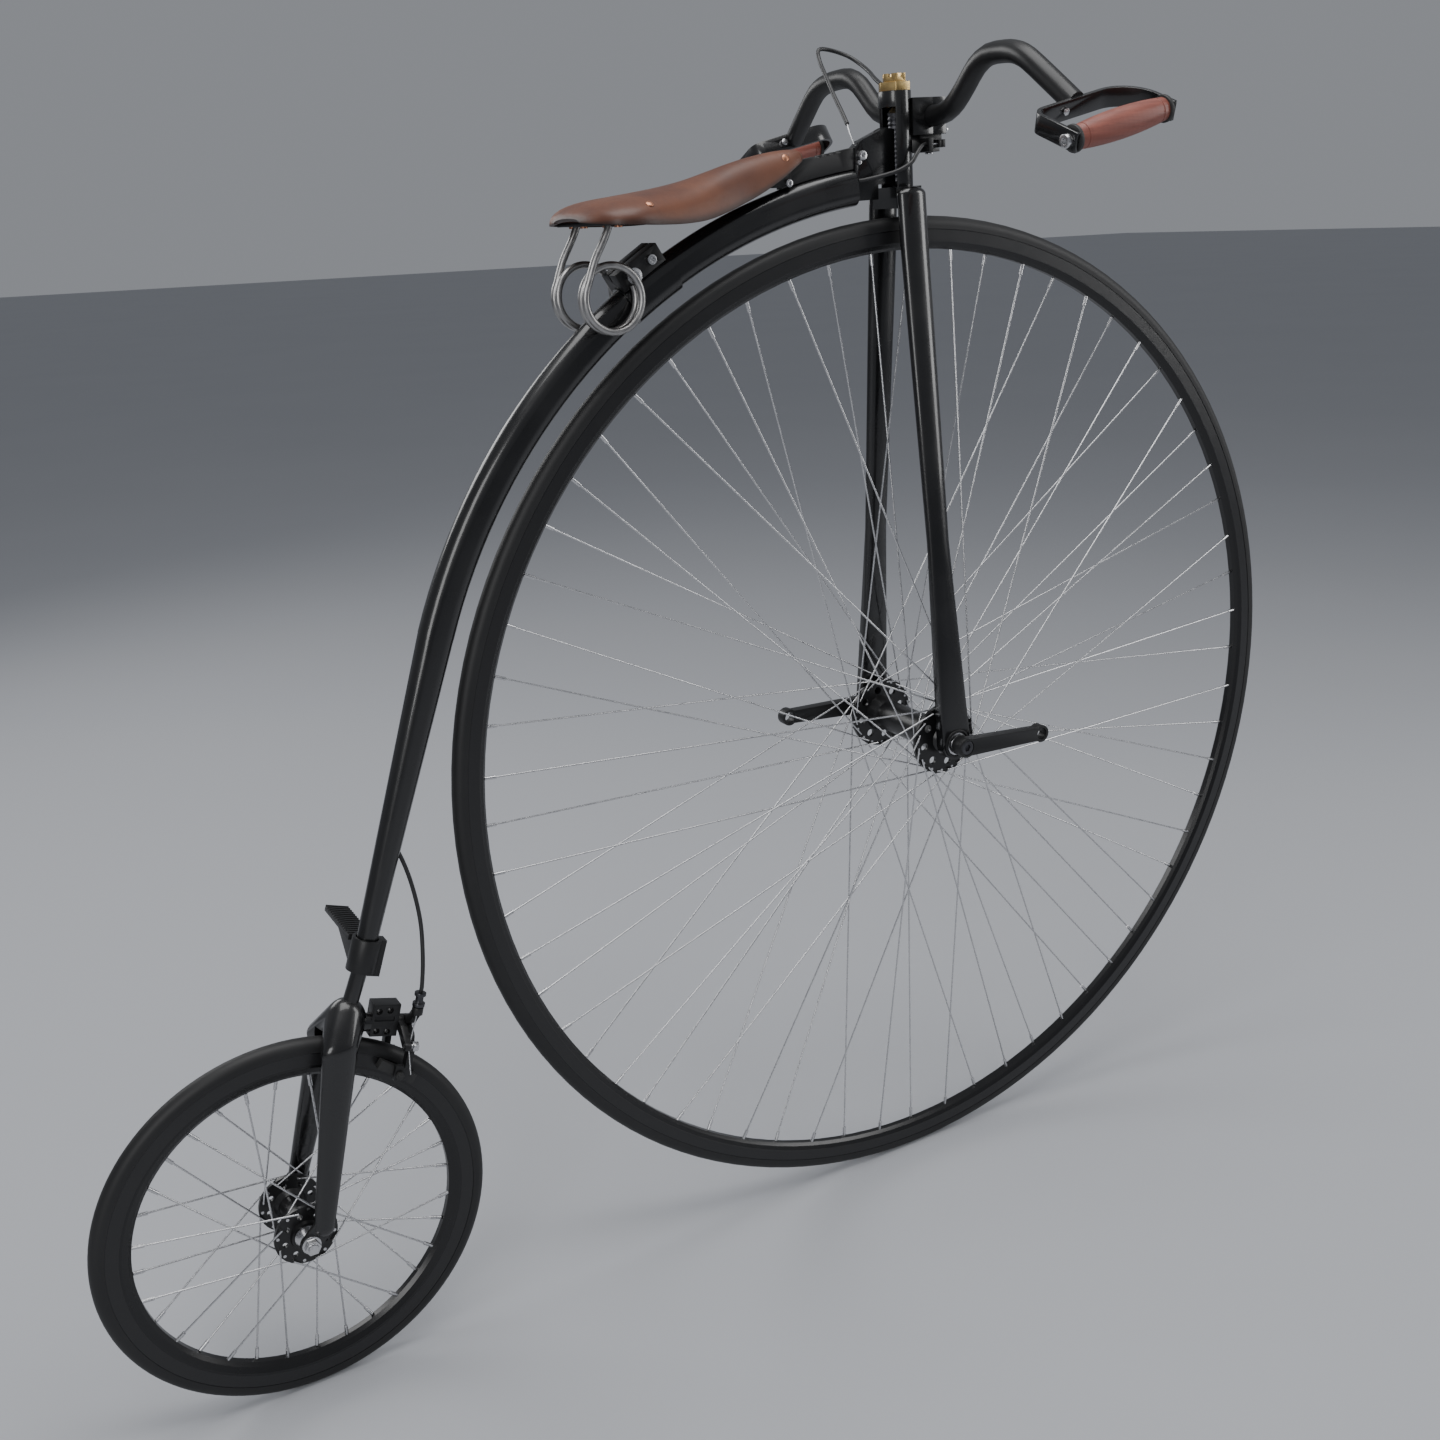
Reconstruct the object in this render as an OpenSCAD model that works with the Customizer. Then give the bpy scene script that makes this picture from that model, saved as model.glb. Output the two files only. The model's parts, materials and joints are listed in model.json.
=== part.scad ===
/* [Wheels] */
// Outer radius of the driving wheel at the front
front_r = 600; // [500:5:720]
// Outer radius of the small wheel at the back
rear_r = 210; // [175:1:250]
// Distance between the two axles, along the ground
wheel_base = 818; // [760:2:1000]
// Width of both solid tyres
tyre_w = 20; // [16:0.5:24]
// Height of tyre rubber outside the rim
tyre_depth = 14; // [11:0.5:18]
// Depth of the front rim, from tyre to nipple
front_rim_depth = 21.5; // [16:0.5:30]
// Depth of the rear rim, from tyre to nipple
rear_rim_depth = 27; // [18:0.5:32]
// Width across the braking faces of both rims
rim_w = 19; // [15:0.5:23]
// Wall thickness of both rims
rim_wall = 2; // [1.5:0.1:2.6]
// Spokes in the front wheel
front_spokes_n = 64; // [48:8:80]
// Spokes in the rear wheel
rear_spokes_n = 32; // [24:4:40]
// Spoke diameter
spoke_d = 2; // [1.6:0.1:2.3]

/* [Hubs and cranks] */
// Outside face to outside face across the front flanges
front_flange_span = 132; // [120:1:140]
// Radius of the front flanges
front_flange_r = 43.5; // [38:0.5:50]
// Outside face to outside face across the rear flanges
rear_flange_span = 68; // [58:1:76]
// Radius of the rear flanges
rear_flange_r = 33.5; // [28:0.5:38]
// Thickness of every spoke flange
flange_t = 4; // [3:0.25:5]
// Diameter of the front axle, which turns with the wheel
front_axle_d = 17; // [15:0.5:19]
// Diameter of the fixed rear axle
rear_axle_d = 10; // [9:0.5:11]
// Distance between the rear dropouts
rear_dropout_gap = 100; // [92:1:110]
// Crank length, axle to pedal hole
crank_len = 115; // [90:1:140]
// Diameter of the threaded pedal hole
pedal_hole_d = 14.28; // [12.7:0.01:14.3]
// Thickness of a crank at the pedal eye
crank_t = 13; // [11:0.5:16]

/* [Frame] */
// Radial gap between front tyre and backbone
backbone_gap = 17; // [12:0.5:30]
// Depth of the backbone tube, measured away from the wheel
backbone_depth = 38; // [34:0.5:42]
// Width of the backbone tube
backbone_w = 27; // [24:0.5:31]
// Wall of the backbone tube
backbone_wall = 2; // [1.5:0.1:2.6]
// Backward lean of the steering axis, in degrees
steer_lean = 1.64; // [0:0.1:4]
// Outside diameter of the steering head
head_d = 36; // [34:0.5:40]
// Wall of the steering head
head_wall = 3.5; // [3:0.25:4.5]
// Height of the steering head above the crown
head_len = 98; // [90:1:110]
// Diameter of the steering spindle
spindle_d = 17; // [15:0.5:18]
// Sideways distance from the wheel plane to a fork end
fork_end_y = 84; // [82:0.5:90]
// Sideways distance from the wheel plane to a blade at the crown
fork_top_y = 26; // [24:0.5:32]
// Thickness of the neck plate
neck_t = 12; // [10:0.5:14]

/* [Handlebar and saddle] */
// Diameter of the handlebar tube
bar_d = 22.2; // [20:0.1:24]
// Sideways distance from the wheel plane to a grip's axis
grip_y = 298; // [270:2:330]
// Length of a wooden grip
grip_len = 112; // [95:1:125]
// Largest diameter of a wooden grip
grip_d = 29; // [26:0.5:34]
// Width of the flat band that carries each grip
band_w = 19; // [15:0.5:24]
// Thickness of that band
band_t = 4; // [3:0.25:5]
// Length of the saddle
saddle_len = 276; // [255:1:300]
// Width of the saddle at the back
saddle_w = 160; // [150:1:190]
// Wire diameter of the hairpin springs
spring_wire_d = 7.5; // [6.5:0.25:8.5]
// Radius of the hairpin coils, to the middle of the wire
spring_r = 32; // [28:0.5:36]

/* [Brake] */
// Brake cable outside diameter
cable_d = 4.5; // [4:0.25:5]
// Distance from caliper pivot to brake pads
caliper_reach = 50; // [46:0.5:56]
// Gap between each pad and the rim
pad_gap = 2; // [1.5:0.1:3]

/* [Hidden] */
$fn = 48;

fit = 0.05;            // running clearance on a radius
seat = 0.3;            // gap between curved faces of separate bodies
front_x = (wheel_base + rear_r - front_r) / 2;
rear_x = front_x - wheel_base;

// backbone, an arc about the front axle and then a straight taper
backbone_r = front_r + backbone_gap + backbone_depth / 2;
axis_x = -backbone_r * tan(steer_lean);        // steering axis at backbone height
neck_len = 60;                                 // steering axis to backbone end
backbone_a0 = 90 + asin((neck_len - axis_x) / backbone_r);
backbone_joint = 90 + asin(360 / backbone_r);  // where the two tubes meet
backbone_a1 = 160;                             // where the arc ends
sleeve_a = 5.5;                                // angle that the end sleeve covers
sleeve_wall = 2.5;
spigot_a = 6;                                  // angle of the plug inside the sleeve
top_z = backbone_r + backbone_depth / 2;       // highest line of the backbone

// rear fork, measured from the rear axle
stub_d = 17;
joint_p = [102, 270];                          // where the stub meets the backbone
crown_c = [78, 214];                           // middle of the rear crown
blade_top = [62, 192];
blade_low = [16, 14];
rear_blade_y = 27;
dropout_t = 4;
washer_t = 1.5;
nut_t = 6.5;

// steering head, measured up the steering axis from the front axle
crown_z = front_r + 9;
crown_h = 22;
head_z0 = crown_z + crown_h;
head_z1 = head_z0 + head_len;
adjuster_d = 22;
locknut_t = 9;
steer_angle = 30;                              // steering each way

// fork ends
bearing_d = 28;
holder_d = 35;
holder_w = 17;
crank_y = 98;                                  // inner face of a crank
crank_boss_y = 95;
crank_drop = 3;                                // right crank below level

// handlebar, measured in the steering frame
clamp_w = 38;
clamp_h = 38;
bar_x = head_d / 2 + 19.1;
bar_z = head_z1 - 27;

// grips, each in its own frame: forward, outward, up
grip_c = [bar_x + 3, grip_y, bar_z - 27.5];
grip_pitch = 11;
grip_roll = 23;                                // the band rises toward the bar
band_in = 54;                                  // grip axis to the bar's end
disc_t = 4;
rod_d = 6;
band_half = grip_len / 2 + disc_t + band_t + 0.1;
bar_end_x = -5;
function grip_pt(p) =
    let (y = p[1] * cos(grip_roll) + p[2] * sin(grip_roll),
         z = p[2] * cos(grip_roll) - p[1] * sin(grip_roll))
    grip_c + [p[0] * cos(grip_pitch) - z * sin(grip_pitch), y,
              p[0] * sin(grip_pitch) + z * cos(grip_pitch)];

// route of one half of the handlebar, from the middle outward
bar_dx = [0, 0, 0, -3, -7.5, -8, -8.5, -8.5, -8.5, -10.5, -12, -11.5];
bar_dy = [0, 20, 28, 48, 69, 86, 104, 124, 148, 165, 181, 200];
bar_dz = [0, 0, 0, 2.5, 10.5, 25, 41.5, 50.5, 51, 49, 44, 32];
bar_half = concat(
    [for (i = [0:11])
        [bar_x + bar_dx[i], bar_dy[i] * (i < 3 ? 1 : grip_y / 298), bar_z + bar_dz[i]]],
    [grip_pt([bar_end_x, -band_in + 6, 0])]);

// brake lever under the clamp, measured in the steering frame
lever_p = [47, 2];
lever_z = bar_z - clamp_h / 2 - 10;
lever_t = 8;
stop_y = -22;                                  // cable stop beside the head

// cables' routes: steering frame, steering frame, frame of the front axle
lever_route = [[26, -22, 673], [23, -22, 673], [16, -23.5, 670], [8, -26, 663], [0, -27, 655],
    [-16, -26, 648], [-32, -21, 644], [-48, -13, 641], [-57, -9, 640]];
bar_route = [[-2, 21, 738], [3, 40, 746], [14, 64, 754], [18, 88, 765], [12, 104, 775],
    [-6, 112, 782], [-22, 110, 782], [-26, 103, 770], [-34, 80, 752], [-42, 56, 733],
    [-49, 30, 712], [-53, 15, 699]];
bare_route = [[-53, 15, 699], [-55, 8, 689], [-55, 1, 678]];
rear_route = [[-675, 0, 16], [-664, -1, 0], [-655, -6, -35], [-652, -15, -78], [-656, -23, -116]];

// saddle, measured from the front axle
saddle_z = top_z - 655;                        // follows the backbone
coil_x = -391;
coil_z = sqrt(pow(top_z + 7.6, 2) - coil_x * coil_x);
coil_y = 29;
clamp_a = backbone_joint - 2.6;                // middle of the spring clamp
clamp_len = 56;
clamp_half_w = 15.5;
cantle = [-390, 606 + saddle_z];               // middle of the cantle plate
nose = [-168, 662 + saddle_z];                 // bridge over the saddle rail

// rear brake, in a frame that leans forward with the fork
pivot_p = [130, 196];
pivot_lean = 16;
arm_t = 7;
pad_y = rim_w / 2 + pad_gap;
pad_t = 9;
pad_x = 4.7;                                   // middle of the pads along the pivot bolt
pad_turn = 24.5;                               // turns the pads along the rim
adjuster_p = [-27, 24];
anchor_p = [-34, -14];
back_x = 1.2;                                  // inner faces of the two arms
front_arm_x = back_x + arm_t + 0.5;

// ---------- helpers ----------
function unit(v) = v / norm(v);
// points on a smooth curve through a list of route points
function spline_pt(p, i, t) =
    let (n = len(p),
         a = p[max(i - 1, 0)], b = p[i], c = p[min(i + 1, n - 1)], d = p[min(i + 2, n - 1)])
    0.5 * ((2 * b) + (c - a) * t + (2 * a - 5 * b + 4 * c - d) * t * t
           + (3 * b - a - 3 * c + d) * t * t * t);
function smooth(p, k) =
    concat([for (i = [0:len(p) - 2], j = [0:k - 1]) spline_pt(p, i, j / k)], [p[len(p) - 1]]);
function tangents(p) =
    [for (i = [0:len(p) - 1]) unit(p[min(i + 1, len(p) - 1)] - p[max(i - 1, 0)])];
// a frame carried along the route without twist
function carry(t, i, n) =
    i == len(t) ? [] :
    let (m = unit(n - (n * t[i]) * t[i])) concat([m], carry(t, i + 1, m));
module tube(route, r, sides, start = [0, 0, 1]) {
    t = tangents(route);
    n = carry(t, 0, start);
    pts = [for (i = [0:len(route) - 1], k = [0:sides - 1])
        let (b = cross(t[i], n[i]), a = 360 * k / sides)
        route[i] + r * (cos(a) * n[i] + sin(a) * b)];
    rings = len(route);
    sides_f = [for (i = [0:rings - 2], k = [0:sides - 1])
        let (a = i * sides + k, b = i * sides + (k + 1) % sides)
        [a, a + sides, b + sides, b]];
    polyhedron(pts, concat(sides_f, [[for (k = [0:sides - 1]) k]],
        [[for (k = [sides - 1:-1:0]) (rings - 1) * sides + k]]), convexity = 6);
}
// stands the children in the plane of the front wheel, about its axle
module front() translate([front_x, 0, front_r]) children();
module rear() translate([rear_x, 0, rear_r]) children();
// the leaning frame of the steering, its origin on the front axle
module steering() front() rotate([0, -steer_lean, 0]) children();
module both_sides() for (s = [0, 1]) mirror([0, s, 0]) children();
// a cylinder across the bicycle, centred on y
module cross_cyl(r, y0, y1) rotate([-90, 0, 0]) translate([0, 0, y0]) cylinder(r = r, h = y1 - y0);
// turns a profile (radius, y) about the wheel axle
module wheel_turn() rotate([90, 0, 0]) rotate_extrude($fn = 96) children();
module oval(depth, w) {
    for (s = [-1, 1]) translate([s * (depth - w) / 2, 0]) circle(d = w);
    square([depth - w, w], center = true);
}
// an arc of oval tube about the front axle, from angle a0 to a1
module arc_tube(depth, w, a0, a1) rotate([90, 0, 0]) rotate([0, 0, a0])
    rotate_extrude(angle = a1 - a0, $fn = 96) translate([backbone_r, 0]) oval(depth, w);
function on_arc(r, a) = [r * cos(a), 0, r * sin(a)];
module strip(pts, w) {
    for (i = [0:len(pts) - 2]) {
        d = pts[i + 1] - pts[i];
        translate(pts[i]) rotate(atan2(d[1], d[0])) translate([0, -w / 2]) square([norm(d), w]);
    }
    for (p = pts) translate(p) circle(d = w + 0.6);
}

// ---------- frame ----------
module backbone_front() color([0.06, 0.06, 0.065]) front() {
    difference() {
        union() {
            arc_tube(backbone_depth, backbone_w, backbone_a0, backbone_joint);
            arc_tube(backbone_depth + 2 * sleeve_wall, backbone_w + 2 * sleeve_wall,
                backbone_joint - sleeve_a, backbone_joint);
        }
        arc_tube(backbone_depth - 2 * backbone_wall, backbone_w - 2 * backbone_wall,
            backbone_a0 - 1, backbone_joint + 1);
    }
}
taper_end = [rear_x - front_x + joint_p[0], 0, rear_r - front_r + joint_p[1]];
arc_end = on_arc(backbone_r, backbone_a1);
taper_dir = unit(arc_end - taper_end);
stub_dir = unit([joint_p[0] - crown_c[0], 0, joint_p[1] - crown_c[1]]);
function lean_of(d) = atan2(d[0], d[2]);
module backbone_rear() color([0.06, 0.06, 0.065]) front() {
    plug_d = backbone_depth - 2 * backbone_wall - 2 * fit;
    plug_w = backbone_w - 2 * backbone_wall - 2 * fit;
    difference() {
        union() {
            arc_tube(backbone_depth, backbone_w, backbone_joint + 0.03, backbone_a1);
            arc_tube(plug_d, plug_w, backbone_joint - spigot_a, backbone_joint + 0.5);
        }
        arc_tube(plug_d - 2 * backbone_wall, plug_w - 2 * backbone_wall,
            backbone_joint - spigot_a - 1, backbone_a1 - 1);
    }
    difference() {
        taper(0);
        taper(backbone_wall);
        tube(smooth([for (i = [0:2]) rear_route[i]], 2), cable_d / 2 + 0.1, 12, [0, 1, 0]);
    }
}
module taper(t) hull() {
    translate(arc_end) rotate([0, -backbone_a1, 0]) translate([0, 0, -0.5])
        linear_extrude(1) oval(backbone_depth - 2 * t - 0.4, backbone_w - 2 * t - 0.4, $fn = 32);
    translate(taper_end) rotate([0, lean_of(taper_dir), 0])
        translate([0, 0, 2 * t]) linear_extrude(0.4) circle(d = stub_d + 4 - 2 * t, $fn = 32);
}
// side outline of the neck, from the steering axis back to the backbone
module neck_outline() polygon([
    [0, top_z - 21], [0, top_z + 30], [-4, top_z + 35], [-20, top_z + 37],
    [-52, top_z + 24], [-60, top_z + 17], [-60, top_z - backbone_depth + 0.5],
    [-29, top_z - backbone_depth + 1.5], [-29, top_z - 21]]);
module neck() color([0.06, 0.06, 0.065]) difference() {
    front() translate([axis_x, 0, 0]) difference() {
        rotate([90, 0, 0]) translate([0, 0, -neck_t / 2]) linear_extrude(neck_t) neck_outline();
        translate([-52, 0, top_z + 9]) cross_cyl(3.1, -neck_t, neck_t);
        translate([-55, 0, top_z + 2]) cross_cyl(1.6, -neck_t, neck_t);
    }
    steering() cylinder(r = spindle_d / 2 + fit, h = 2 * front_r);
}
// the threaded spindle that turns between two cones in the head
module steering_spindle() color([0.2, 0.2, 0.21]) steering() {
    r = spindle_d / 2;
    low = head_z0 + 0.3;
    high = head_z1 - 16.3;
    threads = 14;
    pitch = (high - low - 14) / threads;
    rotate_extrude() polygon(concat(
        [[0, low], [4, low], [r, low + 6]],
        [for (i = [0:threads - 1], s = [0, 1])
            [r - (s == 0 ? 0 : 0.9), low + 7 + pitch * (i + s / 2)]],
        [[r, high - 6], [4, high], [0, high]]));
}
// socket bolt: head on the right, shank through to the left
module side_bolt(shank, head, y0, y1) {
    difference() {
        cross_cyl(head, y0 - head * 0.8, y0);
        rotate([-90, 0, 0]) translate([0, 0, y0 - head * 0.8 - 1]) cylinder(r = head / 2, h = 3.4, $fn = 6);
    }
    cross_cyl(shank, y0 - 0.5, y1);
}
module frame_bolts() color("silver") {
    front() translate([axis_x - 52, 0, top_z + 9]) side_bolt(3, 5, -neck_t / 2 - 0.1, neck_t / 2);
    front() translate([axis_x - 55, 0, top_z + 2]) side_bolt(1.5, 2.5, -neck_t / 2 - 0.1, neck_t / 2);
    front() at_clamp() translate([0, 0, -14]) side_bolt(3, 5, -clamp_half_w - 0.1, clamp_half_w);
    front() at_clamp() translate([0, 0, 14]) {
        y = clamp_half_w + spring_wire_d + 1.2;
        side_bolt(3, 5, -y, y);
        for (s = [-1, 1]) translate([0, s * (y + 0.75), 0]) cross_cyl(8, -0.75, 0.75);
    }
    front() translate([nose[0] + 1, 0, nose[1] - 24]) side_bolt(2.5, 4, -10.1, 10);
}
// frame on top of the sleeve: x away from the wheel, z along the backbone
module at_clamp() translate(on_arc(top_z + 7, clamp_a)) rotate([0, -clamp_a, 0]) children();
module spring_clamp() color([0.07, 0.07, 0.075]) front() difference() {
    at_clamp() difference() {
        translate([-10, -clamp_half_w, -clamp_len / 2]) cube([20, 2 * clamp_half_w, clamp_len]);
        for (s = [-1, 1]) translate([0, 0, s * 14]) cross_cyl(3.05, -clamp_half_w - 1, clamp_half_w + 1);
        translate([2, -1, -clamp_len / 2 - 1]) cube([12, 2, clamp_len + 2]);
    }
    arc_tube(backbone_depth + 0.04, backbone_w + 0.04, backbone_a0, backbone_a1);
    arc_tube(backbone_depth + 2 * sleeve_wall + 0.04, backbone_w + 2 * sleeve_wall + 0.04,
        backbone_joint - sleeve_a - 0.01, backbone_joint + 0.02);
}
rail_x0 = -172;
rail_slope = 0.163;
function rail_z(x) = top_z + 2 + (x - rail_x0) * rail_slope;
// toothed plate that the saddle's nose slides along
module saddle_rail() color([0.08, 0.08, 0.085]) front() difference() {
    rotate([90, 0, 0]) translate([0, 0, -5]) linear_extrude(10) difference() {
        polygon([[rail_x0, rail_z(rail_x0)], [axis_x - neck_len - 0.2, rail_z(axis_x - neck_len)],
            [axis_x - neck_len - 0.2, top_z - 12], [rail_x0, top_z - 45]]);
        for (i = [0:3]) translate([-126 + 9 * i, rail_z(-126 + 9 * i) + 1]) rotate(9.3)
            square([5, 5.5], center = true);
        translate([nose[0] + 1, nose[1] - 24]) circle(r = 2.55);
    }
    cross_cyl(top_z + 0.02, -20, 20, $fn = 360);
}
// ---------- saddle ----------
module leather_form(g) hull() {
    for (s = [-1, 1]) translate([-386, s * (saddle_w / 2 - 26), 611 + saddle_z])
        scale([1, 1, 0.75]) sphere(r = 26 - g, $fn = 32);
    translate([-392, 0, 612 + saddle_z]) scale([1, 1.3, 0.6]) sphere(r = 28 - g, $fn = 32);
    for (s = [-1, 1]) translate([-310, s * 30, 614 + saddle_z])
        scale([1, 1, 1.05]) sphere(r = 24 - g, $fn = 32);
    translate([-420 + saddle_len - 13, 0, 657 + saddle_z]) sphere(r = 13 - g, $fn = 32);
}
module saddle_leather() color([0.45, 0.22, 0.1]) front() difference() {
    leather_form(0);
    leather_form(5);
    translate([-430, -100, 570 + saddle_z]) cube([300, 200, 34]);
    rotate([90, 0, 0]) translate([0, 0, -10.6]) linear_extrude(21.2) polygon([
        [nose[0] - 18, 600], [nose[0] - 18, nose[1] - 2.7], [nose[0] + 6, nose[1] - 2.7],
        [nose[0] + 40, rail_z(nose[0] + 40) + 0.6], [nose[0] + 40, 600]]);
}
module rod(p, q, r) translate(p) rotate([0, acos((q - p)[2] / norm(q - p)), atan2((q - p)[1], (q - p)[0])])
    cylinder(r = r, h = norm(q - p));
function side_rod(s) = [[cantle[0] + 8, s * 24, cantle[1] + 4], [nose[0] - 14, s * 7, nose[1] - 11]];
module saddle_frame() color([0.1, 0.1, 0.1]) front() {
    translate([cantle[0] - 12, 15 - saddle_w / 2, cantle[1] - 2]) cube([24, saddle_w - 30, 4]);
    for (s = [-1, 1]) rod(side_rod(s)[0], side_rod(s)[1], 3.5);
}
// bridge and cheeks that grip the saddle rail
module saddle_nose_clamp() color([0.1, 0.1, 0.1]) front() difference() {
    translate([nose[0] - 17, -10, nose[1] - 28]) cube([22, 20, 25]);
    translate([rail_x0 - 0.1, -5.1, nose[1] - 30]) cube([60, 10.2, 40]);
    translate([nose[0] + 1, 0, nose[1] - 24]) cross_cyl(2.55, -20, 20);
    for (s = [-1, 1]) rod(side_rod(s)[0], side_rod(s)[1], 3.55);
}
// hairpin: down from the cantle, nearly two turns, into the clamp's side
coil_turn = 570;
coil_step = coil_y + 8 - clamp_half_w - spring_wire_d / 2 - 0.1;
function hairpin(s) = concat(
    [[cantle[0] - 6, s * 37, cantle[1] - 2.3], [cantle[0] - 6, s * 37, cantle[1] - 8],
     [cantle[0] - 7, s * 37, cantle[1] - 15]],
    [for (t = [0:22]) let (a = 170 + coil_turn * t / 22)
        [coil_x + spring_r * cos(a), s * (coil_y + 8 - coil_step * pow(t / 22, 1.4)),
            coil_z + spring_r * sin(a)]]);
module saddle_springs() color("silver") front() for (s = [-1, 1])
    tube(smooth(hairpin(s), 2), spring_wire_d / 2, 10, [0, 1, 0]);
module saddle_rivets() color([0.72, 0.4, 0.25]) front() {
    for (y = [-52, -26, 26, 52]) translate([cantle[0], y, cantle[1] - 4]) cylinder(r = 4, h = 1.9);
}
// ---------- mounting step ----------
collar_c = taper_end + 14 * taper_dir;
module step_collar() color([0.07, 0.07, 0.075]) front() translate(collar_c) difference() {
    rotate([0, lean_of(taper_dir), 0]) difference() {
        union() {
            translate([0, 0, -18]) cylinder(r = stub_d / 2 + 7, h = 36);
            translate([2, -7, -22]) cube([stub_d / 2 + 9, 14, 40]);
            translate([-8, 0, -14]) cube([16, stub_d / 2 + 8, 28]);
        }
        translate([0, 0, -40]) cylinder(r = stub_d / 2 + 0.5, h = 26);
        translate([0, 0, -14.1]) cylinder(r = stub_d / 2 + 3.6, h = 50);
    }
}
step_y0 = stub_d / 2 + 8.1;
module mounting_step() color([0.08, 0.08, 0.085]) front() translate(collar_c)
    rotate([0, lean_of(taper_dir), 0]) {
        difference() {
            translate([-14, step_y0, 8]) cube([26, 86, 7]);
            for (i = [0:13]) translate([-20, step_y0 + 2.5 + 6 * i, 13]) cube([40, 3, 4]);
        }
        rotate([90, 0, 90]) translate([0, 0, -4]) linear_extrude(8)
            polygon([[step_y0, 8.1], [step_y0 + 82, 8.1], [step_y0 + 80, 6], [step_y0, -26]]);
    }
// ---------- rear fork ----------
function at3(p) = [p[0], 0, p[1]];
module rear_blade() hull() {
    translate([blade_top[0], rear_blade_y, blade_top[1]]) scale([19, 9.5, 14]) sphere(r = 1, $fn = 32);
    translate([blade_low[0], rear_dropout_gap / 2 + 2, blade_low[1]]) scale([11, 6, 11]) sphere(r = 1, $fn = 32);
}
module rear_fork() color([0.06, 0.06, 0.065]) rear() {
    difference() {
        union() {
            both_sides() hull() {
                translate(at3(crown_c)) rotate([0, 14, 0]) scale([22, 20, 25]) sphere(r = 1, $fn = 32);
                translate([blade_top[0], rear_blade_y, blade_top[1] + 2]) scale([19.5, 10, 16])
                    sphere(r = 1, $fn = 32);
            }
            both_sides() rear_blade();
        }
        cross_cyl(rear_r + 5, -14, 14);
        cross_cyl(14, -rear_dropout_gap / 2 - 0.7, rear_dropout_gap / 2 + 0.7);
    }
    translate(at3(crown_c)) rotate([0, lean_of(stub_dir), 0])
        cylinder(r = stub_d / 2, h = norm(joint_p - crown_c) - 0.9);
    at_pivot() rotate([0, 90, 0]) translate([0, 0, -46]) cylinder(r = 10, h = 17.35);
    both_sides() difference() {
        translate([0, rear_dropout_gap / 2, 0]) rotate([-90, 0, 0]) linear_extrude(dropout_t)
            strip([[0, 0], [blade_low[0] + 2, -blade_low[1] - 4]], 22);
        cross_cyl(rear_axle_d / 2 + fit, 0, rear_dropout_gap);
    }
}
module rear_axle() color("silver") rear() {
    cross_cyl(rear_axle_d / 2, -rear_dropout_gap / 2 - 14, rear_dropout_gap / 2 + 14);
    both_sides() cross_cyl(8, rear_dropout_gap / 2 - 5, rear_dropout_gap / 2 - 0.05);
}
module rear_axle_nuts() color("silver") rear() both_sides() {
    y = rear_dropout_gap / 2 + dropout_t + 0.05;
    difference() {
        union() {
            cross_cyl(10, y, y + washer_t);
            rotate([-90, 0, 0]) translate([0, 0, y + washer_t]) cylinder(r = 8.6, h = nut_t, $fn = 6);
        }
        cross_cyl(rear_axle_d / 2 + 0.02, 0, rear_dropout_gap);
    }
}
// ---------- rear brake ----------
// x forward along the pivot bolt, z up the caliper
module at_pivot() translate(at3(pivot_p)) rotate([0, pivot_lean, 0]) children();
module plate(x, t) translate([x, 0, 0]) rotate([90, 0, 90]) linear_extrude(t) children();
module brake_bracket() color([0.07, 0.07, 0.075]) rear() at_pivot() difference() {
    translate([-28.6, -9, -13]) cube([29.5, 18, 36]);
    rotate([0, 90, 0]) translate([0, 0, -40]) cylinder(r = 3.1, h = 50);
    for (p = [[-22, 15], [-10, 16], [-22, -7], [-10, -8]]) translate([p[0], 0, p[1]]) cross_cyl(3.5, -20, 20);
    translate([-26, -10, 4]) cube([22, 3, 5]);
}
module brake_pivot() color("silver") rear() at_pivot() rotate([0, 90, 0]) {
    translate([0, 0, -28.5]) cylinder(r = 3, h = 50.7);
    translate([0, 0, 17.4]) cylinder(r = 6.5, h = 5, $fn = 6);
}
module arm_profile(pts) difference() {
    union() {
        strip(pts, 9.5);
        circle(r = 8);
    }
    circle(r = 3.1);
}
module shoe_eye() translate([pad_x - 5, pad_y + pad_t + 0.1, -caliper_reach - 7]) cube([16, 6, 17]);
module eye_hole() translate([pad_x, 0, -caliper_reach]) cross_cyl(2.6, pad_y + pad_t - 1, pad_y + pad_t + 9);
// the right arm hooks over the pivot; it carries the cable's stop
module caliper_arm_right() color([0.08, 0.08, 0.085]) rear() at_pivot() difference() {
    union() {
        plate(front_arm_x, arm_t) arm_profile([adjuster_p, [-17, 11], [0, 0], [-19, -9],
            [-pad_y - pad_t - 5, -24], [-pad_y - pad_t - 4, -caliper_reach + 12]]);
        translate([front_arm_x + arm_t / 2, adjuster_p[0], adjuster_p[1] - 4]) cylinder(r = 6, h = 8);
        mirror([0, 1, 0]) shoe_eye();
    }
    translate([front_arm_x + arm_t / 2, adjuster_p[0], adjuster_p[1] - 10]) cylinder(r = 3.1, h = 30);
    mirror([0, 1, 0]) eye_hole();
}
// the left arm crosses the pivot; its short end holds the wire
module caliper_arm_left() color([0.08, 0.08, 0.085]) rear() at_pivot() difference() {
    union() {
        plate(back_x, arm_t) arm_profile([anchor_p, [-14, -3], [0, 0], [19, -9],
            [pad_y + pad_t + 5, -24], [pad_y + pad_t + 4, -caliper_reach + 12]]);
        shoe_eye();
    }
    translate([0, anchor_p[0], anchor_p[1]]) rotate([0, 90, 0]) cylinder(r = 3.1, h = 40);
    eye_hole();
}
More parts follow.
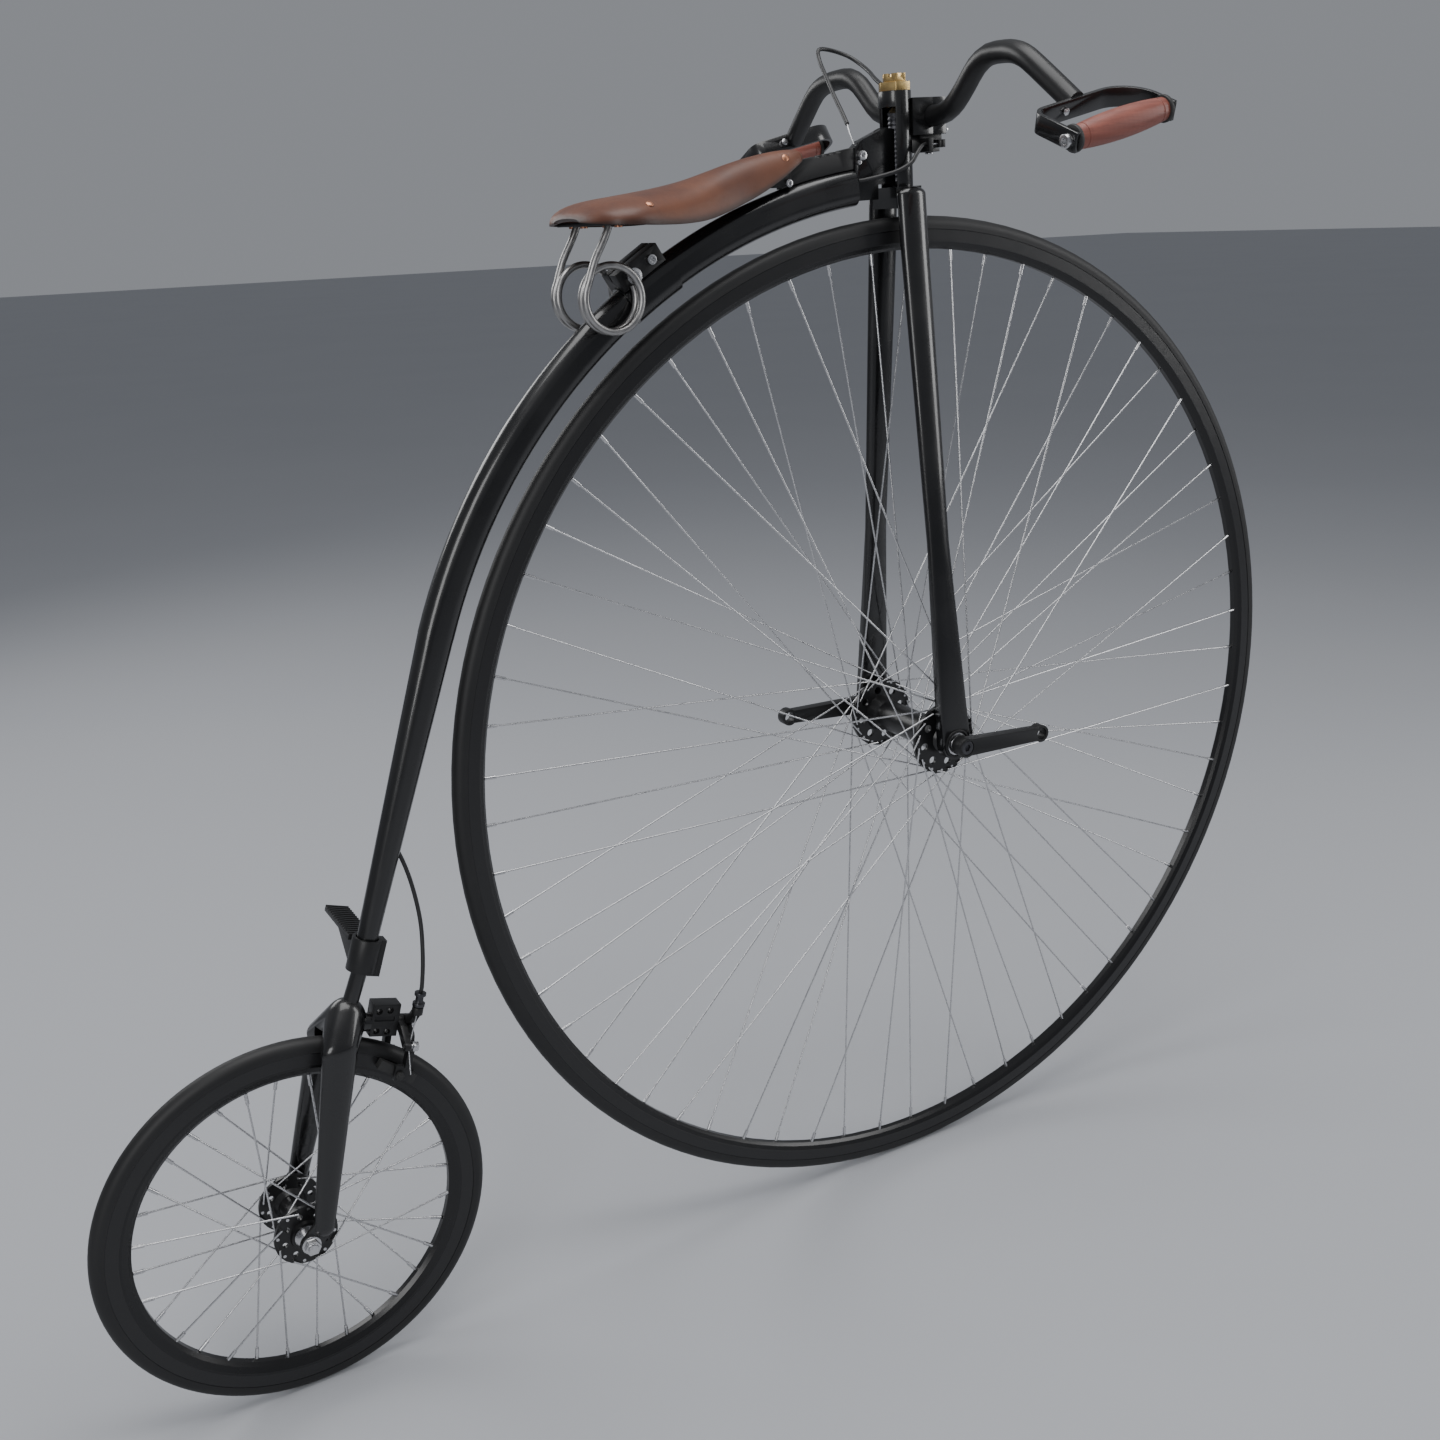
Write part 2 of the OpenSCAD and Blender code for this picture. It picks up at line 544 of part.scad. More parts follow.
// rubber block in its holder, with the stud and nut that hold it
module brake_pad() {
    translate([pad_x, pad_y, -caliper_reach]) rotate([0, pad_turn, 0])
        translate([-23, 0, -5]) cube([46, pad_t, 10]);
    translate([pad_x, 0, -caliper_reach]) {
        cross_cyl(2.5, pad_y + pad_t - 0.5, pad_y + pad_t + 11);
        rotate([-90, 0, 0]) translate([0, 0, pad_y + pad_t + 6.2]) cylinder(r = 4.6, h = 4, $fn = 6);
    }
}
module brake_pad_right() color([0.12, 0.12, 0.12]) rear() at_pivot() mirror([0, 1, 0]) brake_pad();
module brake_pad_left() color([0.12, 0.12, 0.12]) rear() at_pivot() brake_pad();
module barrel_adjuster() color([0.12, 0.12, 0.12]) rear() at_pivot()
    translate([front_arm_x + arm_t / 2, adjuster_p[0], adjuster_p[1]]) difference() {
        union() {
            translate([0, 0, -4]) cylinder(r = 3.05, h = 12);
            translate([0, 0, 5.2]) cylinder(r = 6.6, h = 4);
            translate([0, 0, 9]) cylinder(r = 4.2, h = 10);
            translate([0, 0, 17]) cylinder(r = 6.2, h = 3.5);
        }
        translate([0, 0, -10]) cylinder(r = 0.9, h = 40);
    }
module cable_anchor() color("silver") rear() at_pivot() translate([0, anchor_p[0], anchor_p[1]])
    rotate([0, 90, 0]) {
        translate([0, 0, back_x + 0.5]) cylinder(r = 3.05, h = arm_t + 5);
        translate([0, 0, back_x + arm_t + 1.6]) cylinder(r = 5.4, h = 2);
        translate([0, 0, back_x + arm_t + 3.5]) cylinder(r = 5.5, h = 4.5, $fn = 6);
    }
// point of the rear axle's frame that lies at p beside the caliper pivot
function by_pivot(p) = [pivot_p[0] + p[0] * cos(pivot_lean) + p[2] * sin(pivot_lean), p[1],
    pivot_p[1] - p[0] * sin(pivot_lean) + p[2] * cos(pivot_lean)];
module rear_brake_cable() color([0.05, 0.05, 0.05]) {
    x = front_arm_x + arm_t / 2;
    top = by_pivot([x, adjuster_p[0], adjuster_p[1] + 20.8]);
    shift = [rear_x - front_x, 0, rear_r - front_r];
    front() tube(smooth(concat(rear_route, [by_pivot([x, adjuster_p[0], adjuster_p[1] + 30]) + shift,
        top + shift]), 2), cable_d / 2, 10, [0, 1, 0]);
    wire_y = anchor_p[0] + 3.05 + 0.8;
    wire_x = back_x + arm_t + 0.8;
    rear() tube([top, by_pivot([x, adjuster_p[0], adjuster_p[1] - 5]),
        by_pivot([wire_x, wire_y, anchor_p[1] + 6]), by_pivot([wire_x, wire_y, anchor_p[1] - 6]),
        by_pivot([wire_x + 3, wire_y - 9, anchor_p[1] - 30])], 0.7, 8, [0, 1, 0]);
}
// ---------- wheels ----------
module tyre(r) wheel_turn() difference() {
    union() {
        translate([r - tyre_w / 2, 0]) circle(d = tyre_w);
        translate([r - tyre_depth, -tyre_w / 2]) square([tyre_depth - tyre_w / 2, tyre_w]);
    }
    translate([r - tyre_depth - tyre_w, -tyre_w]) square([tyre_w, 2 * tyre_w]);
}
module rim(r, depth) wheel_turn() difference() {
    rim_outline(r - tyre_depth - 0.02, depth, rim_w / 2);
    rim_outline(r - tyre_depth - rim_wall - 0.02, depth - 2 * rim_wall, rim_w / 2 - rim_wall);
}
module rim_outline(r, depth, w) polygon([[r, -w], [r, w], [r - depth * 0.62, w],
    [r - depth * 0.85, w * 0.72], [r - depth, w * 0.36], [r - depth, -w * 0.36],
    [r - depth * 0.85, -w * 0.72], [r - depth * 0.62, -w]]);
// spokes leave the flange almost along its edge and reach the rim a few holes on
front_laps = 7;
rear_laps = 3;
hole_in = 3.5;         // hole circle inside the flange's edge
nipple_len = 12;
nipple_d = 4;
function lay(n, span, flange_r, rim_in, laps, side, k) =
    let (pitch = 720 / n, d = k % 2 == 0 ? 1 : -1, a = k * pitch + (side > 0 ? 0 : pitch / 2),
         b = a + d * laps * pitch, hole = flange_r - hole_in,
         slope = span / 2 / rim_in, edge = sqrt(flange_r * flange_r - hole * hole),
         off = d > 0 ? 0.2 + 0.85 * slope * edge : -0.8,
         y = side * (span / 2 - flange_t / 2 + off + d * (flange_t / 2 + spoke_d / 2)))
    [[hole * cos(a), y, hole * sin(a)],
     [(rim_in - 0.45) * cos(b), side * 2, (rim_in - 0.45) * sin(b)], d];
module spokes(n, span, flange_r, rim_in, laps)
    for (side = [-1, 1], k = [0:n / 2 - 1]) {
        l = lay(n, span, flange_r, rim_in, laps, side, k);
        u = unit(l[1] - l[0]);
        rod(l[0] - 0.6 * u, l[1] - 2 * u, spoke_d / 2);
        dir = side * l[2];             // from the head toward the elbow
        head_y = side * (span / 2 - flange_t / 2) - dir * (flange_t / 2 + 0.1);
        translate([l[0][0], 0, l[0][2]]) {
            span_cyl(spoke_d / 2 - 0.05, head_y - dir * 0.3, l[0][1] + dir * 0.5);
            span_cyl(spoke_d * 0.85, head_y, head_y - dir * 0.6);
        }
    }
module span_cyl(r, a, b) cross_cyl(r, min(a, b), max(a, b));
module nipples(n, span, flange_r, rim_in, laps)
    for (side = [-1, 1], k = [0:n / 2 - 1]) {
        l = lay(n, span, flange_r, rim_in, laps, side, k);
        difference() {
            rod(l[1] - nipple_len * unit(l[1] - l[0]), l[1], nipple_d / 2);
            rod(l[0], l[1] - 1.9 * unit(l[1] - l[0]), spoke_d / 2 + 0.03);
        }
    }
// turns a hub from the outline (radius, y) of its left half
module hub_shell(half) wheel_turn()
    polygon(concat(half, [for (i = [len(half) - 1:-1:0]) [half[i][0], -half[i][1]]]));
module flange_holes(n, span, flange_r, light_n, light_r, light_at) {
    for (side = [-1, 1], k = [0:n / 2 - 1]) {
        a = k * 720 / n + (side > 0 ? 0 : 360 / n);
        translate([(flange_r - hole_in) * cos(a), side * span / 2, (flange_r - hole_in) * sin(a)])
            cross_cyl(spoke_d / 2 + 0.1, -flange_t - 1, flange_t + 1);
    }
    for (k = [0:light_n - 1]) {
        a = 360 * k / light_n + 10;
        translate([light_at * cos(a), 0, light_at * sin(a)]) cross_cyl(light_r, -span, span);
    }
}
front_rim_in = front_r - tyre_depth - front_rim_depth - 0.02;
rear_rim_in = rear_r - tyre_depth - rear_rim_depth - 0.02;
module rear_tyre() color([0.09, 0.09, 0.1]) rear() tyre(rear_r);
module rear_rim() color([0.07, 0.07, 0.075]) rear() rim(rear_r, rear_rim_depth);
module rear_spokes() color("silver") rear()
    spokes(rear_spokes_n, rear_flange_span, rear_flange_r, rear_rim_in, rear_laps);
module rear_nipples() color("silver") rear()
    nipples(rear_spokes_n, rear_flange_span, rear_flange_r, rear_rim_in, rear_laps);
rear_bearing_r = 13;
module rear_hub() color([0.07, 0.07, 0.075]) rear() difference() {
    f = rear_flange_span / 2;
    hub_shell([[14, f - flange_t - 6], [18, f - flange_t],
        [rear_flange_r, f - flange_t], [rear_flange_r, f], [17, f], [16, f + 4],
        [rear_bearing_r, f + 4], [rear_bearing_r, f - 6], [rear_axle_d / 2 + 2, f - 6]]);
    flange_holes(rear_spokes_n, rear_flange_span, rear_flange_r, 8, 3, 23);
}
module rear_bearings() color("silver") rear() both_sides() difference() {
    f = rear_flange_span / 2;
    cross_cyl(rear_bearing_r - 0.02, f - 5.9, f + 2.1);
    cross_cyl(rear_axle_d / 2 + fit, 0, f + 10);
}
module front_tyre() color([0.09, 0.09, 0.1]) front() tyre(front_r);
module front_rim() color([0.07, 0.07, 0.075]) front() rim(front_r, front_rim_depth);
module front_spokes() color("silver") front()
    spokes(front_spokes_n, front_flange_span, front_flange_r, front_rim_in, front_laps);
module front_nipples() color("silver") front()
    nipples(front_spokes_n, front_flange_span, front_flange_r, front_rim_in, front_laps);
hub_end = fork_end_y - holder_w / 2 - 0.5;
module front_hub() color([0.07, 0.07, 0.075]) front() difference() {
    f = front_flange_span / 2;
    hub_shell([[19, f - flange_t - 16], [23, f - flange_t],
        [front_flange_r, f - flange_t], [front_flange_r, f], [17, f], [14, f + 3],
        [12, hub_end], [front_axle_d / 2 + 0.02, hub_end]]);
    flange_holes(front_spokes_n, front_flange_span, front_flange_r, 8, 4.8, 30);
}
axle_seat_r = 7;
bolt_r = 4;
module front_axle() color("silver") front() difference() {
    union() {
        cross_cyl(front_axle_d / 2, -crank_boss_y, crank_boss_y);
        cross_cyl(axle_seat_r, -crank_boss_y - 12, crank_boss_y + 12);
    }
    both_sides() cross_cyl(bolt_r + 0.02, crank_boss_y - 10, crank_boss_y + 20);
}
module crank() difference() {
    union() {
        cross_cyl(12, crank_boss_y, crank_y + crank_t);
        rotate([-90, 0, 0]) translate([0, 0, crank_y]) linear_extrude(crank_t)
            polygon([[0, -10.5], [crank_len, -8], [crank_len, 8], [0, 10.5]]);
        translate([crank_len, 0, 0]) cross_cyl(10.5, crank_y, crank_y + crank_t);
    }
    cross_cyl(axle_seat_r + 0.02, crank_boss_y - 1, crank_y + 30);
    cross_cyl(9, crank_boss_y + 12.1, crank_y + 30);
    translate([crank_len, 0, 0]) cross_cyl(pedal_hole_d / 2, crank_y - 5, crank_y + 30);
}
module cranks() color([0.06, 0.06, 0.065]) front() {
    mirror([0, 1, 0]) rotate([0, crank_drop, 0]) crank();
    rotate([0, 180 + crank_drop, 0]) crank();
}
module crank_bolts() color("silver") front() both_sides() difference() {
    union() {
        cross_cyl(bolt_r, crank_boss_y - 9, crank_boss_y + 13);
        cross_cyl(8.5, crank_boss_y + 12.2, crank_boss_y + 15.5);
    }
    rotate([-90, 0, 0]) translate([0, 0, crank_boss_y + 12.5]) cylinder(r = 4.5, h = 10, $fn = 6);
}
// ---------- fork and steering head ----------
function blade_y(z) = fork_end_y - (fork_end_y - fork_top_y) * z / crown_z;
module section(z, depth, t) translate([0, blade_y(z), z]) scale([depth / 2, t / 2, 1])
    cylinder(r = 1, h = 0.1, $fn = 32);
module blade() {
    hull() {
        translate([0, fork_top_y, crown_z + crown_h - 9]) scale([18.5, 9, 9]) sphere(r = 1, $fn = 32);
        section(crown_z - 40, 36.5, 18);
    }
    hull() { section(crown_z - 40, 36.5, 18); section(240, 30, 14.5); }
    hull() {
        section(240, 30, 14.5);
        cross_y(holder_d / 2 + 2.5, 6.5);
    }
}
module cross_y(r, half) cross_cyl(r, fork_end_y - half, fork_end_y + half, $fn = 32);
module fork_blades() color([0.06, 0.06, 0.065]) steering() {
    difference() {
        both_sides() blade();
        both_sides() cross_cyl(holder_d / 2 + 0.02, fork_end_y - 30, fork_end_y + 30);
    }
    translate([-17, -fork_top_y + 4, crown_z]) cube([34, 2 * fork_top_y - 8, crown_h]);
}
module bearing_holders() color([0.07, 0.07, 0.075]) steering() both_sides() difference() {
    cross_cyl(holder_d / 2, fork_end_y - holder_w / 2, fork_end_y + holder_w / 2);
    cross_cyl(bearing_d / 2 + 0.02, 0, 2 * fork_end_y);
}
module front_bearings() color("silver") steering() both_sides() difference() {
    cross_cyl(bearing_d / 2, fork_end_y - holder_w / 2 + 1, fork_end_y + holder_w / 2 - 1);
    cross_cyl(front_axle_d / 2 + fit, 0, 2 * fork_end_y);
}
slot_a = steer_angle + asin(neck_t / 2 / (head_d / 2 - head_wall)) + 2;
cap_h = 16;
// open column: the neck swings in its slot
module fork_head() color([0.06, 0.06, 0.065]) steering() difference() {
    translate([0, 0, head_z0 + 0.02]) cylinder(r = head_d / 2, h = head_len - 0.02);
    translate([0, 0, head_z0 - 1]) {
        cylinder(r = head_d / 2 - head_wall, h = head_len - cap_h + 1);
        linear_extrude(head_len - cap_h + 1) polygon([[0, 0],
            40 * [-cos(slot_a), sin(slot_a)], [-60, 40 * sin(slot_a)],
            [-60, -40 * sin(slot_a)], 40 * [-cos(slot_a), -sin(slot_a)]]);
    }
    cylinder(r = adjuster_d / 2 + 0.02, h = 2 * front_r);
}
module head_locknut() color([0.8, 0.65, 0.35]) steering() difference() {
    translate([0, 0, head_z1 + 0.02]) cylinder(r = 18.4, h = locknut_t, $fn = 6);
    translate([0, 0, head_z1 - 1]) cylinder(r = adjuster_d / 2 + 0.02, h = 2 * locknut_t);
}
module head_adjuster() color([0.8, 0.65, 0.35]) steering() difference() {
    union() {
        translate([0, 0, head_z1 - cap_h]) cylinder(r = adjuster_d / 2, h = cap_h + locknut_t + 0.1);
        translate([0, 0, head_z1 + locknut_t + 0.1]) cylinder(r = 13.3, h = 8.5, $fn = 6);
    }
    for (a = [0, 60, 120]) rotate([0, 0, a + 30]) translate([-20, -2, head_z1 + locknut_t + 5])
        cube([40, 4, 10]);
    translate([0, 0, head_z1 + locknut_t + 3]) cylinder(r = 6, h = 20);
}
// ---------- handlebar ----------
bolt_at = [for (y = [-1, 1], z = [-1, 1]) [y * 14, z * 15]];
module along_x(p, r, x0, x1) translate([x0, p[0], p[1]]) rotate([0, 90, 0]) cylinder(r = r, h = x1 - x0);
module clamp_block(x0, x1) difference() {
    translate([x0, -clamp_w / 2, bar_z - clamp_h / 2]) cube([x1 - x0, clamp_w, clamp_h]);
    translate([bar_x, 0, bar_z]) cross_cyl(bar_d / 2 + 0.02, -clamp_w, clamp_w);
    for (p = bolt_at) along_x(p + [0, bar_z], 2.55, 0, 100);
}
module bar_clamp() color([0.06, 0.06, 0.065]) steering() difference() {
    clamp_block(head_d / 2 - 8, bar_x - 0.1);
    cylinder(r = head_d / 2 + 0.02, h = 2 * front_r);
}
module bar_clamp_cap() color([0.06, 0.06, 0.065]) steering() difference() {
    clamp_block(bar_x + 0.1, bar_x + 17.5);
    for (i = [-2:2]) translate([bar_x + 16.5, -clamp_w, bar_z + 4 * i - 0.8]) cube([5, 2 * clamp_w, 1.6]);
}
module bar_clamp_bolts() color("silver") steering() for (p = bolt_at) {
    q = p + [0, bar_z];
    along_x(q, 2.5, head_d / 2 + 3, bar_x + 17.5);
    difference() {
        along_x(q, 4, bar_x + 17.52, bar_x + 21.5);
        translate([bar_x + 19.5, q[0], q[1]]) rotate([0, 90, 0]) cylinder(r = 2, h = 5, $fn = 6);
    }
}
bar_route_whole = concat([for (i = [len(bar_half) - 1:-1:1]) [bar_half[i][0], -bar_half[i][1], bar_half[i][2]]],
    bar_half);
module at_grips() both_sides() translate(grip_c) rotate([0, -grip_pitch, 0])
    rotate([-grip_roll, 0, 0]) children();
module handlebar() color([0.06, 0.06, 0.065]) steering() difference() {
    tube(smooth(bar_route_whole, 2), bar_d / 2, 20, [1, 0, 0]);
    at_grips() translate([-50, -band_in - 0.05, -40]) cube([100, 40, 80]);
}
// flat band bent into a D: tight corner behind, wide corner in front
module band_region(t) {
    back = 14;
    ahead = 40;
    translate([back - band_half, t - band_in]) square([2 * band_half - back - ahead, band_in + 30]);
    translate([t - band_half, back - band_in]) square([back - t + 1, band_in + 16]);
    translate([back - band_half, back - band_in]) circle(r = back - t);
    translate([band_half - ahead - 1, ahead - band_in]) square([ahead - t + 1, band_in - 10]);
    translate([band_half - ahead, ahead - band_in]) circle(r = ahead - t);
}
screw_x = -22;
module grip_bands() color([0.06, 0.06, 0.065]) steering() at_grips() difference() {
    translate([0, 0, -band_w / 2]) linear_extrude(band_w) difference() {
        band_region(0);
        band_region(band_t);
        translate([-100, 9.5]) square([200, 60]);
    }
    translate([0, 0, 0]) rotate([0, 90, 0]) cylinder(r = rod_d / 2 + 0.05, h = 300, center = true);
    translate([screw_x, 0, 0]) cross_cyl(2.05, -band_in - 5, -band_in + 10);
}
module band_screws() color("silver") steering() at_grips() translate([screw_x, 0, 0]) {
    cross_cyl(2, -band_in - 0.5, -band_in + band_t + 3);
    cross_cyl(4, -band_in - 3, -band_in - 0.05);
    rotate([-90, 0, 0]) translate([0, 0, -band_in + band_t + 0.05]) cylinder(r = 3.8, h = 2.5, $fn = 6);
}
grip_end_r = 11;
module grips() color([0.55, 0.3, 0.27]) steering() at_grips() rotate([0, 90, 0]) difference() {
    rotate_extrude() polygon(concat([[rod_d / 2 + fit, -grip_len / 2]],
        [for (i = [-9:9]) let (u = i / 9)
            [grip_end_r + (grip_d / 2 - grip_end_r) * (1 - u * u), u * grip_len / 2]],
        [[rod_d / 2 + fit, grip_len / 2]]));
    for (s = [-1, 1]) translate([0, 0, s * (grip_len / 2 - 8)]) rotate_extrude()
        translate([12.1, 0]) circle(r = 0.8, $fn = 16);
}
module grip_discs() color([0.08, 0.08, 0.08]) steering() at_grips() for (s = [-1, 1]) difference() {
    translate([s * (grip_len / 2 + disc_t / 2 + 0.05), 0, 0]) rotate([0, 90, 0])
        cylinder(r = 13, h = disc_t, center = true);
    rotate([0, 90, 0]) cylinder(r = rod_d / 2 + 0.05, h = 300, center = true);
}
module grip_bolts() color("silver") steering() at_grips() rotate([0, 90, 0]) {
    translate([0, 0, -band_half - 1]) cylinder(r = rod_d / 2, h = 2 * band_half + 8);
    difference() {
        translate([0, 0, -band_half - 6]) cylinder(r = 6.5, h = 5.95);
        translate([0, 0, -band_half - 7]) cylinder(r = 3, h = 4, $fn = 6);
    }
    translate([0, 0, band_half + 0.05]) cylinder(r = 5.8, h = 5, $fn = 6);
}
// ---------- brake lever and the cables at the bar ----------
module lever_bracket() color([0.08, 0.08, 0.085]) steering() difference() {
    union() {
        translate([24, stop_y - 6, lever_z - lever_t / 2 - 3.8]) cube([6, 18 - stop_y, 14]);
        for (z = [lever_z + lever_t / 2 + 0.3, lever_z - lever_t / 2 - 3.8])
            translate([24, -8, z]) cube([30, 20, 3.5]);
        translate([24, -12, lever_z + lever_t / 2 + 0.3]) cube([30, 24, 5.65]);
    }
    translate([0, stop_y, lever_z]) rotate([0, 90, 0]) {
        translate([0, 0, 20]) cylinder(r = cable_d / 2 + 0.1, h = 7);
        cylinder(r = 1, h = 60);
    }
    translate([lever_p[0], lever_p[1], lever_z - 20]) cylinder(r = 3, h = 60);
}
module brake_lever() color([0.08, 0.08, 0.085]) steering() translate([0, 0, lever_z - lever_t / 2])
    difference() {
        linear_extrude(lever_t) difference() {
            union() {
                strip([[45, stop_y], lever_p, [44, 34], [48, 62], [47, 88]], 9);
                translate([47, 88]) circle(r = 6.5);
            }
            translate(lever_p) circle(r = 3.05);
        }
        translate([0, stop_y, lever_t / 2]) rotate([0, 90, 0]) cylinder(r = 1, h = 100);
    }
module lever_pin() color("silver") steering() translate([lever_p[0], lever_p[1], 0]) {
    translate([0, 0, lever_z - lever_t / 2 - 4]) cylinder(r = 2.98, h = lever_t + 9);
    translate([0, 0, lever_z - lever_t / 2 - 6]) cylinder(r = 4.5, h = 2.1);
}
module lever_cable() color([0.05, 0.05, 0.05]) steering() {
    tube(smooth(lever_route, 3), cable_d / 2, 10, [0, 0, 1]);
    translate([27.1, stop_y, lever_z]) rotate([0, 90, 0]) cylinder(r = 0.7, h = 22);
}
module bar_cable() color([0.05, 0.05, 0.05]) steering() {
    tube(smooth(bar_route, 2), cable_d / 2, 10, [0, 0, 1]);
    tube(smooth(bare_route, 2), 0.8, 8, [0, 0, 1]);
}

backbone_front();
backbone_rear();
neck();
steering_spindle();
frame_bolts();
saddle_rail();
spring_clamp();
saddle_leather();
saddle_frame();
saddle_springs();
saddle_rivets();
saddle_nose_clamp();
step_collar();
mounting_step();
rear_fork();
rear_axle();
rear_axle_nuts();
brake_bracket();
brake_pivot();
rear_brake_cable();
caliper_arm_right();
brake_pad_right();
barrel_adjuster();
caliper_arm_left();
brake_pad_left();
cable_anchor();
rear_tyre();
rear_rim();
rear_spokes();
rear_nipples();
rear_hub();
rear_bearings();
fork_head();
fork_blades();
bearing_holders();
front_bearings();
head_locknut();
head_adjuster();
bar_clamp();
bar_clamp_cap();
bar_clamp_bolts();
handlebar();
grip_bands();
band_screws();
grips();
grip_discs();
grip_bolts();
lever_bracket();
brake_lever();
lever_pin();
lever_cable();
bar_cable();
front_tyre();
front_rim();
front_spokes();
front_nipples();
front_hub();
front_axle();
cranks();
crank_bolts();
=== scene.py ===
import json
import math

import bpy
from mathutils import Matrix, Vector

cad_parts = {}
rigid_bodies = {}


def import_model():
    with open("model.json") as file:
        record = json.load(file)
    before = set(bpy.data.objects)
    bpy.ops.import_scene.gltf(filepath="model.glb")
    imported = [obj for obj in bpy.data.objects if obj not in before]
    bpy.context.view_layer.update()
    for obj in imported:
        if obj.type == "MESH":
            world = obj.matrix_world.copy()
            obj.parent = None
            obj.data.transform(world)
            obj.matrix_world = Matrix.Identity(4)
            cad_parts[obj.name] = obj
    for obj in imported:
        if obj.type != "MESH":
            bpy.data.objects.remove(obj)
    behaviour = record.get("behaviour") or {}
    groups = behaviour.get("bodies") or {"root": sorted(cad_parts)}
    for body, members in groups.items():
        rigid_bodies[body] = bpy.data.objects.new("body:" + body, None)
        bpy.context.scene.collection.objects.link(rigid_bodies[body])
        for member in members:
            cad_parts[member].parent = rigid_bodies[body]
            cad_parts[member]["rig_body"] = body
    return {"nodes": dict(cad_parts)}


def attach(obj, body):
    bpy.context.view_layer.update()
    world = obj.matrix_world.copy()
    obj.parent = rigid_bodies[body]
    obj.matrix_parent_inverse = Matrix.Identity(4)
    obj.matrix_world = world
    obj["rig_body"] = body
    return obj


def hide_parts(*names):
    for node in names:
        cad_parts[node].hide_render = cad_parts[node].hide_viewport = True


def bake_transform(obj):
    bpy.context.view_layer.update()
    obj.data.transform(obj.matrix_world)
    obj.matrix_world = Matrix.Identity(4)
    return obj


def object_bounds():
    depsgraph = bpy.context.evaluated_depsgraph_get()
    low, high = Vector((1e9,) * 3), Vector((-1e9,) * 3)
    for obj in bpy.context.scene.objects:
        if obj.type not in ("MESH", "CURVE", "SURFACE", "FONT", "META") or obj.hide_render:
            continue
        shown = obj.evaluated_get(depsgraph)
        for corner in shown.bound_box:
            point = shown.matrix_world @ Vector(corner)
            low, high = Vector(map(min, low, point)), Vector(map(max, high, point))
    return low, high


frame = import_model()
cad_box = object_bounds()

# Camera, floor and lamps
# A standing person's view from behind and to the right of the saddle, over a pale sheet of studio
# paper, with a wide lamp overhead, two tall ones on the near side and a long one on the far side.
eye_place = Vector((-0.8627, -1.4259, 1.2055))
eye_heading, eye_dip, eye_tilt = 1.057, 0.321, -0.044
ahead = Vector((math.cos(eye_dip) * math.cos(eye_heading),
                math.cos(eye_dip) * math.sin(eye_heading), -math.sin(eye_dip)))
level = Vector((math.sin(eye_heading), -math.cos(eye_heading), 0))
above = level.cross(ahead)
across = math.cos(eye_tilt) * level + math.sin(eye_tilt) * above
upward = math.cos(eye_tilt) * above - math.sin(eye_tilt) * level
eye = bpy.data.objects.new("studio_eye", bpy.data.cameras.new("studio_eye"))
eye.data.sensor_width, eye.data.lens = 36, 37.64
turn = Matrix((across, upward, -ahead)).transposed().to_4x4()
eye.matrix_world = Matrix.Translation(eye_place) @ turn
bpy.context.scene.collection.objects.link(eye)
bpy.context.scene.camera = eye


class Shade:
    """One socket of a finish's nodes. Sums and products of it add their Math nodes."""

    def __init__(self, tree, socket=None):
        self.tree, self.socket = tree, socket

    def node(self, kind, settings=None, sockets=None, out=0):
        made = self.tree.nodes.new("ShaderNode" + kind)
        for name, value in (settings or {}).items():
            setattr(made, name, value)
        for name, value in (sockets or {}).items():
            if isinstance(value, Shade):
                self.tree.links.new(value.socket, made.inputs[name])
            else:
                made.inputs[name].default_value = value
        return Shade(self.tree, made.outputs[out])

    def maths(self, operation, *values):
        return self.node("Math", {"operation": operation}, dict(enumerate(values)))

    def __add__(self, other):
        return self.maths("ADD", self, other)

    def __mul__(self, other):
        return self.maths("MULTIPLY", self, other)

    __radd__, __rmul__ = __add__, __mul__

    def noise(self, scale, detail=3, stretch=(1, 1, 1), turned=(0, 0, 0)):
        """Cloudy mottling from 0 to 1, so many to the metre, stretched and turned on the piece."""
        at = self.node("Mapping", {}, {"Vector": self, "Rotation": turned, "Scale": stretch})
        return self.node("TexNoise", {}, {"Vector": at, "Scale": scale, "Detail": detail})

    def fade(self, low, high, start=0, end=1):
        """Runs smoothly from start to end as this value goes from low to high."""
        return self.node("MapRange", {"interpolation_type": "SMOOTHSTEP"}, {
            "Value": self, "From Min": low, "From Max": high, "To Min": start, "To Max": end})

    def mix(self, first, second):
        """A colour between two others, by this value."""
        colours = {6: first, 7: second}
        for at, colour in colours.items():
            if not isinstance(colour, Shade):
                colours[at] = (*colour, 1)
        return self.node("Mix", {"data_type": "RGBA"}, {0: self, **colours}, out=2)


def finish(name, **fixed):
    """A new finish, its surface shader, and the place on the piece that its patterns read."""
    made = bpy.data.materials.new(name)
    made.use_nodes = True
    surface = made.node_tree.nodes["Principled BSDF"]
    for socket, value in fixed.items():
        surface.inputs[socket.replace("_", " ")].default_value = value
    return made, surface, Shade(made.node_tree).node("TexCoord", out=3)


def feed(surface, bump=None, depth=0.001, **sockets):
    """Joins what varies over the piece to the surface shader."""
    for socket, value in sockets.items():
        surface.id_data.links.new(value.socket, surface.inputs[socket.replace("_", " ")])
    if bump is not None:
        raised = bump.node("Bump", {}, {"Height": bump, "Distance": depth, "Strength": 1})
        surface.id_data.links.new(raised.socket, surface.inputs["Normal"])


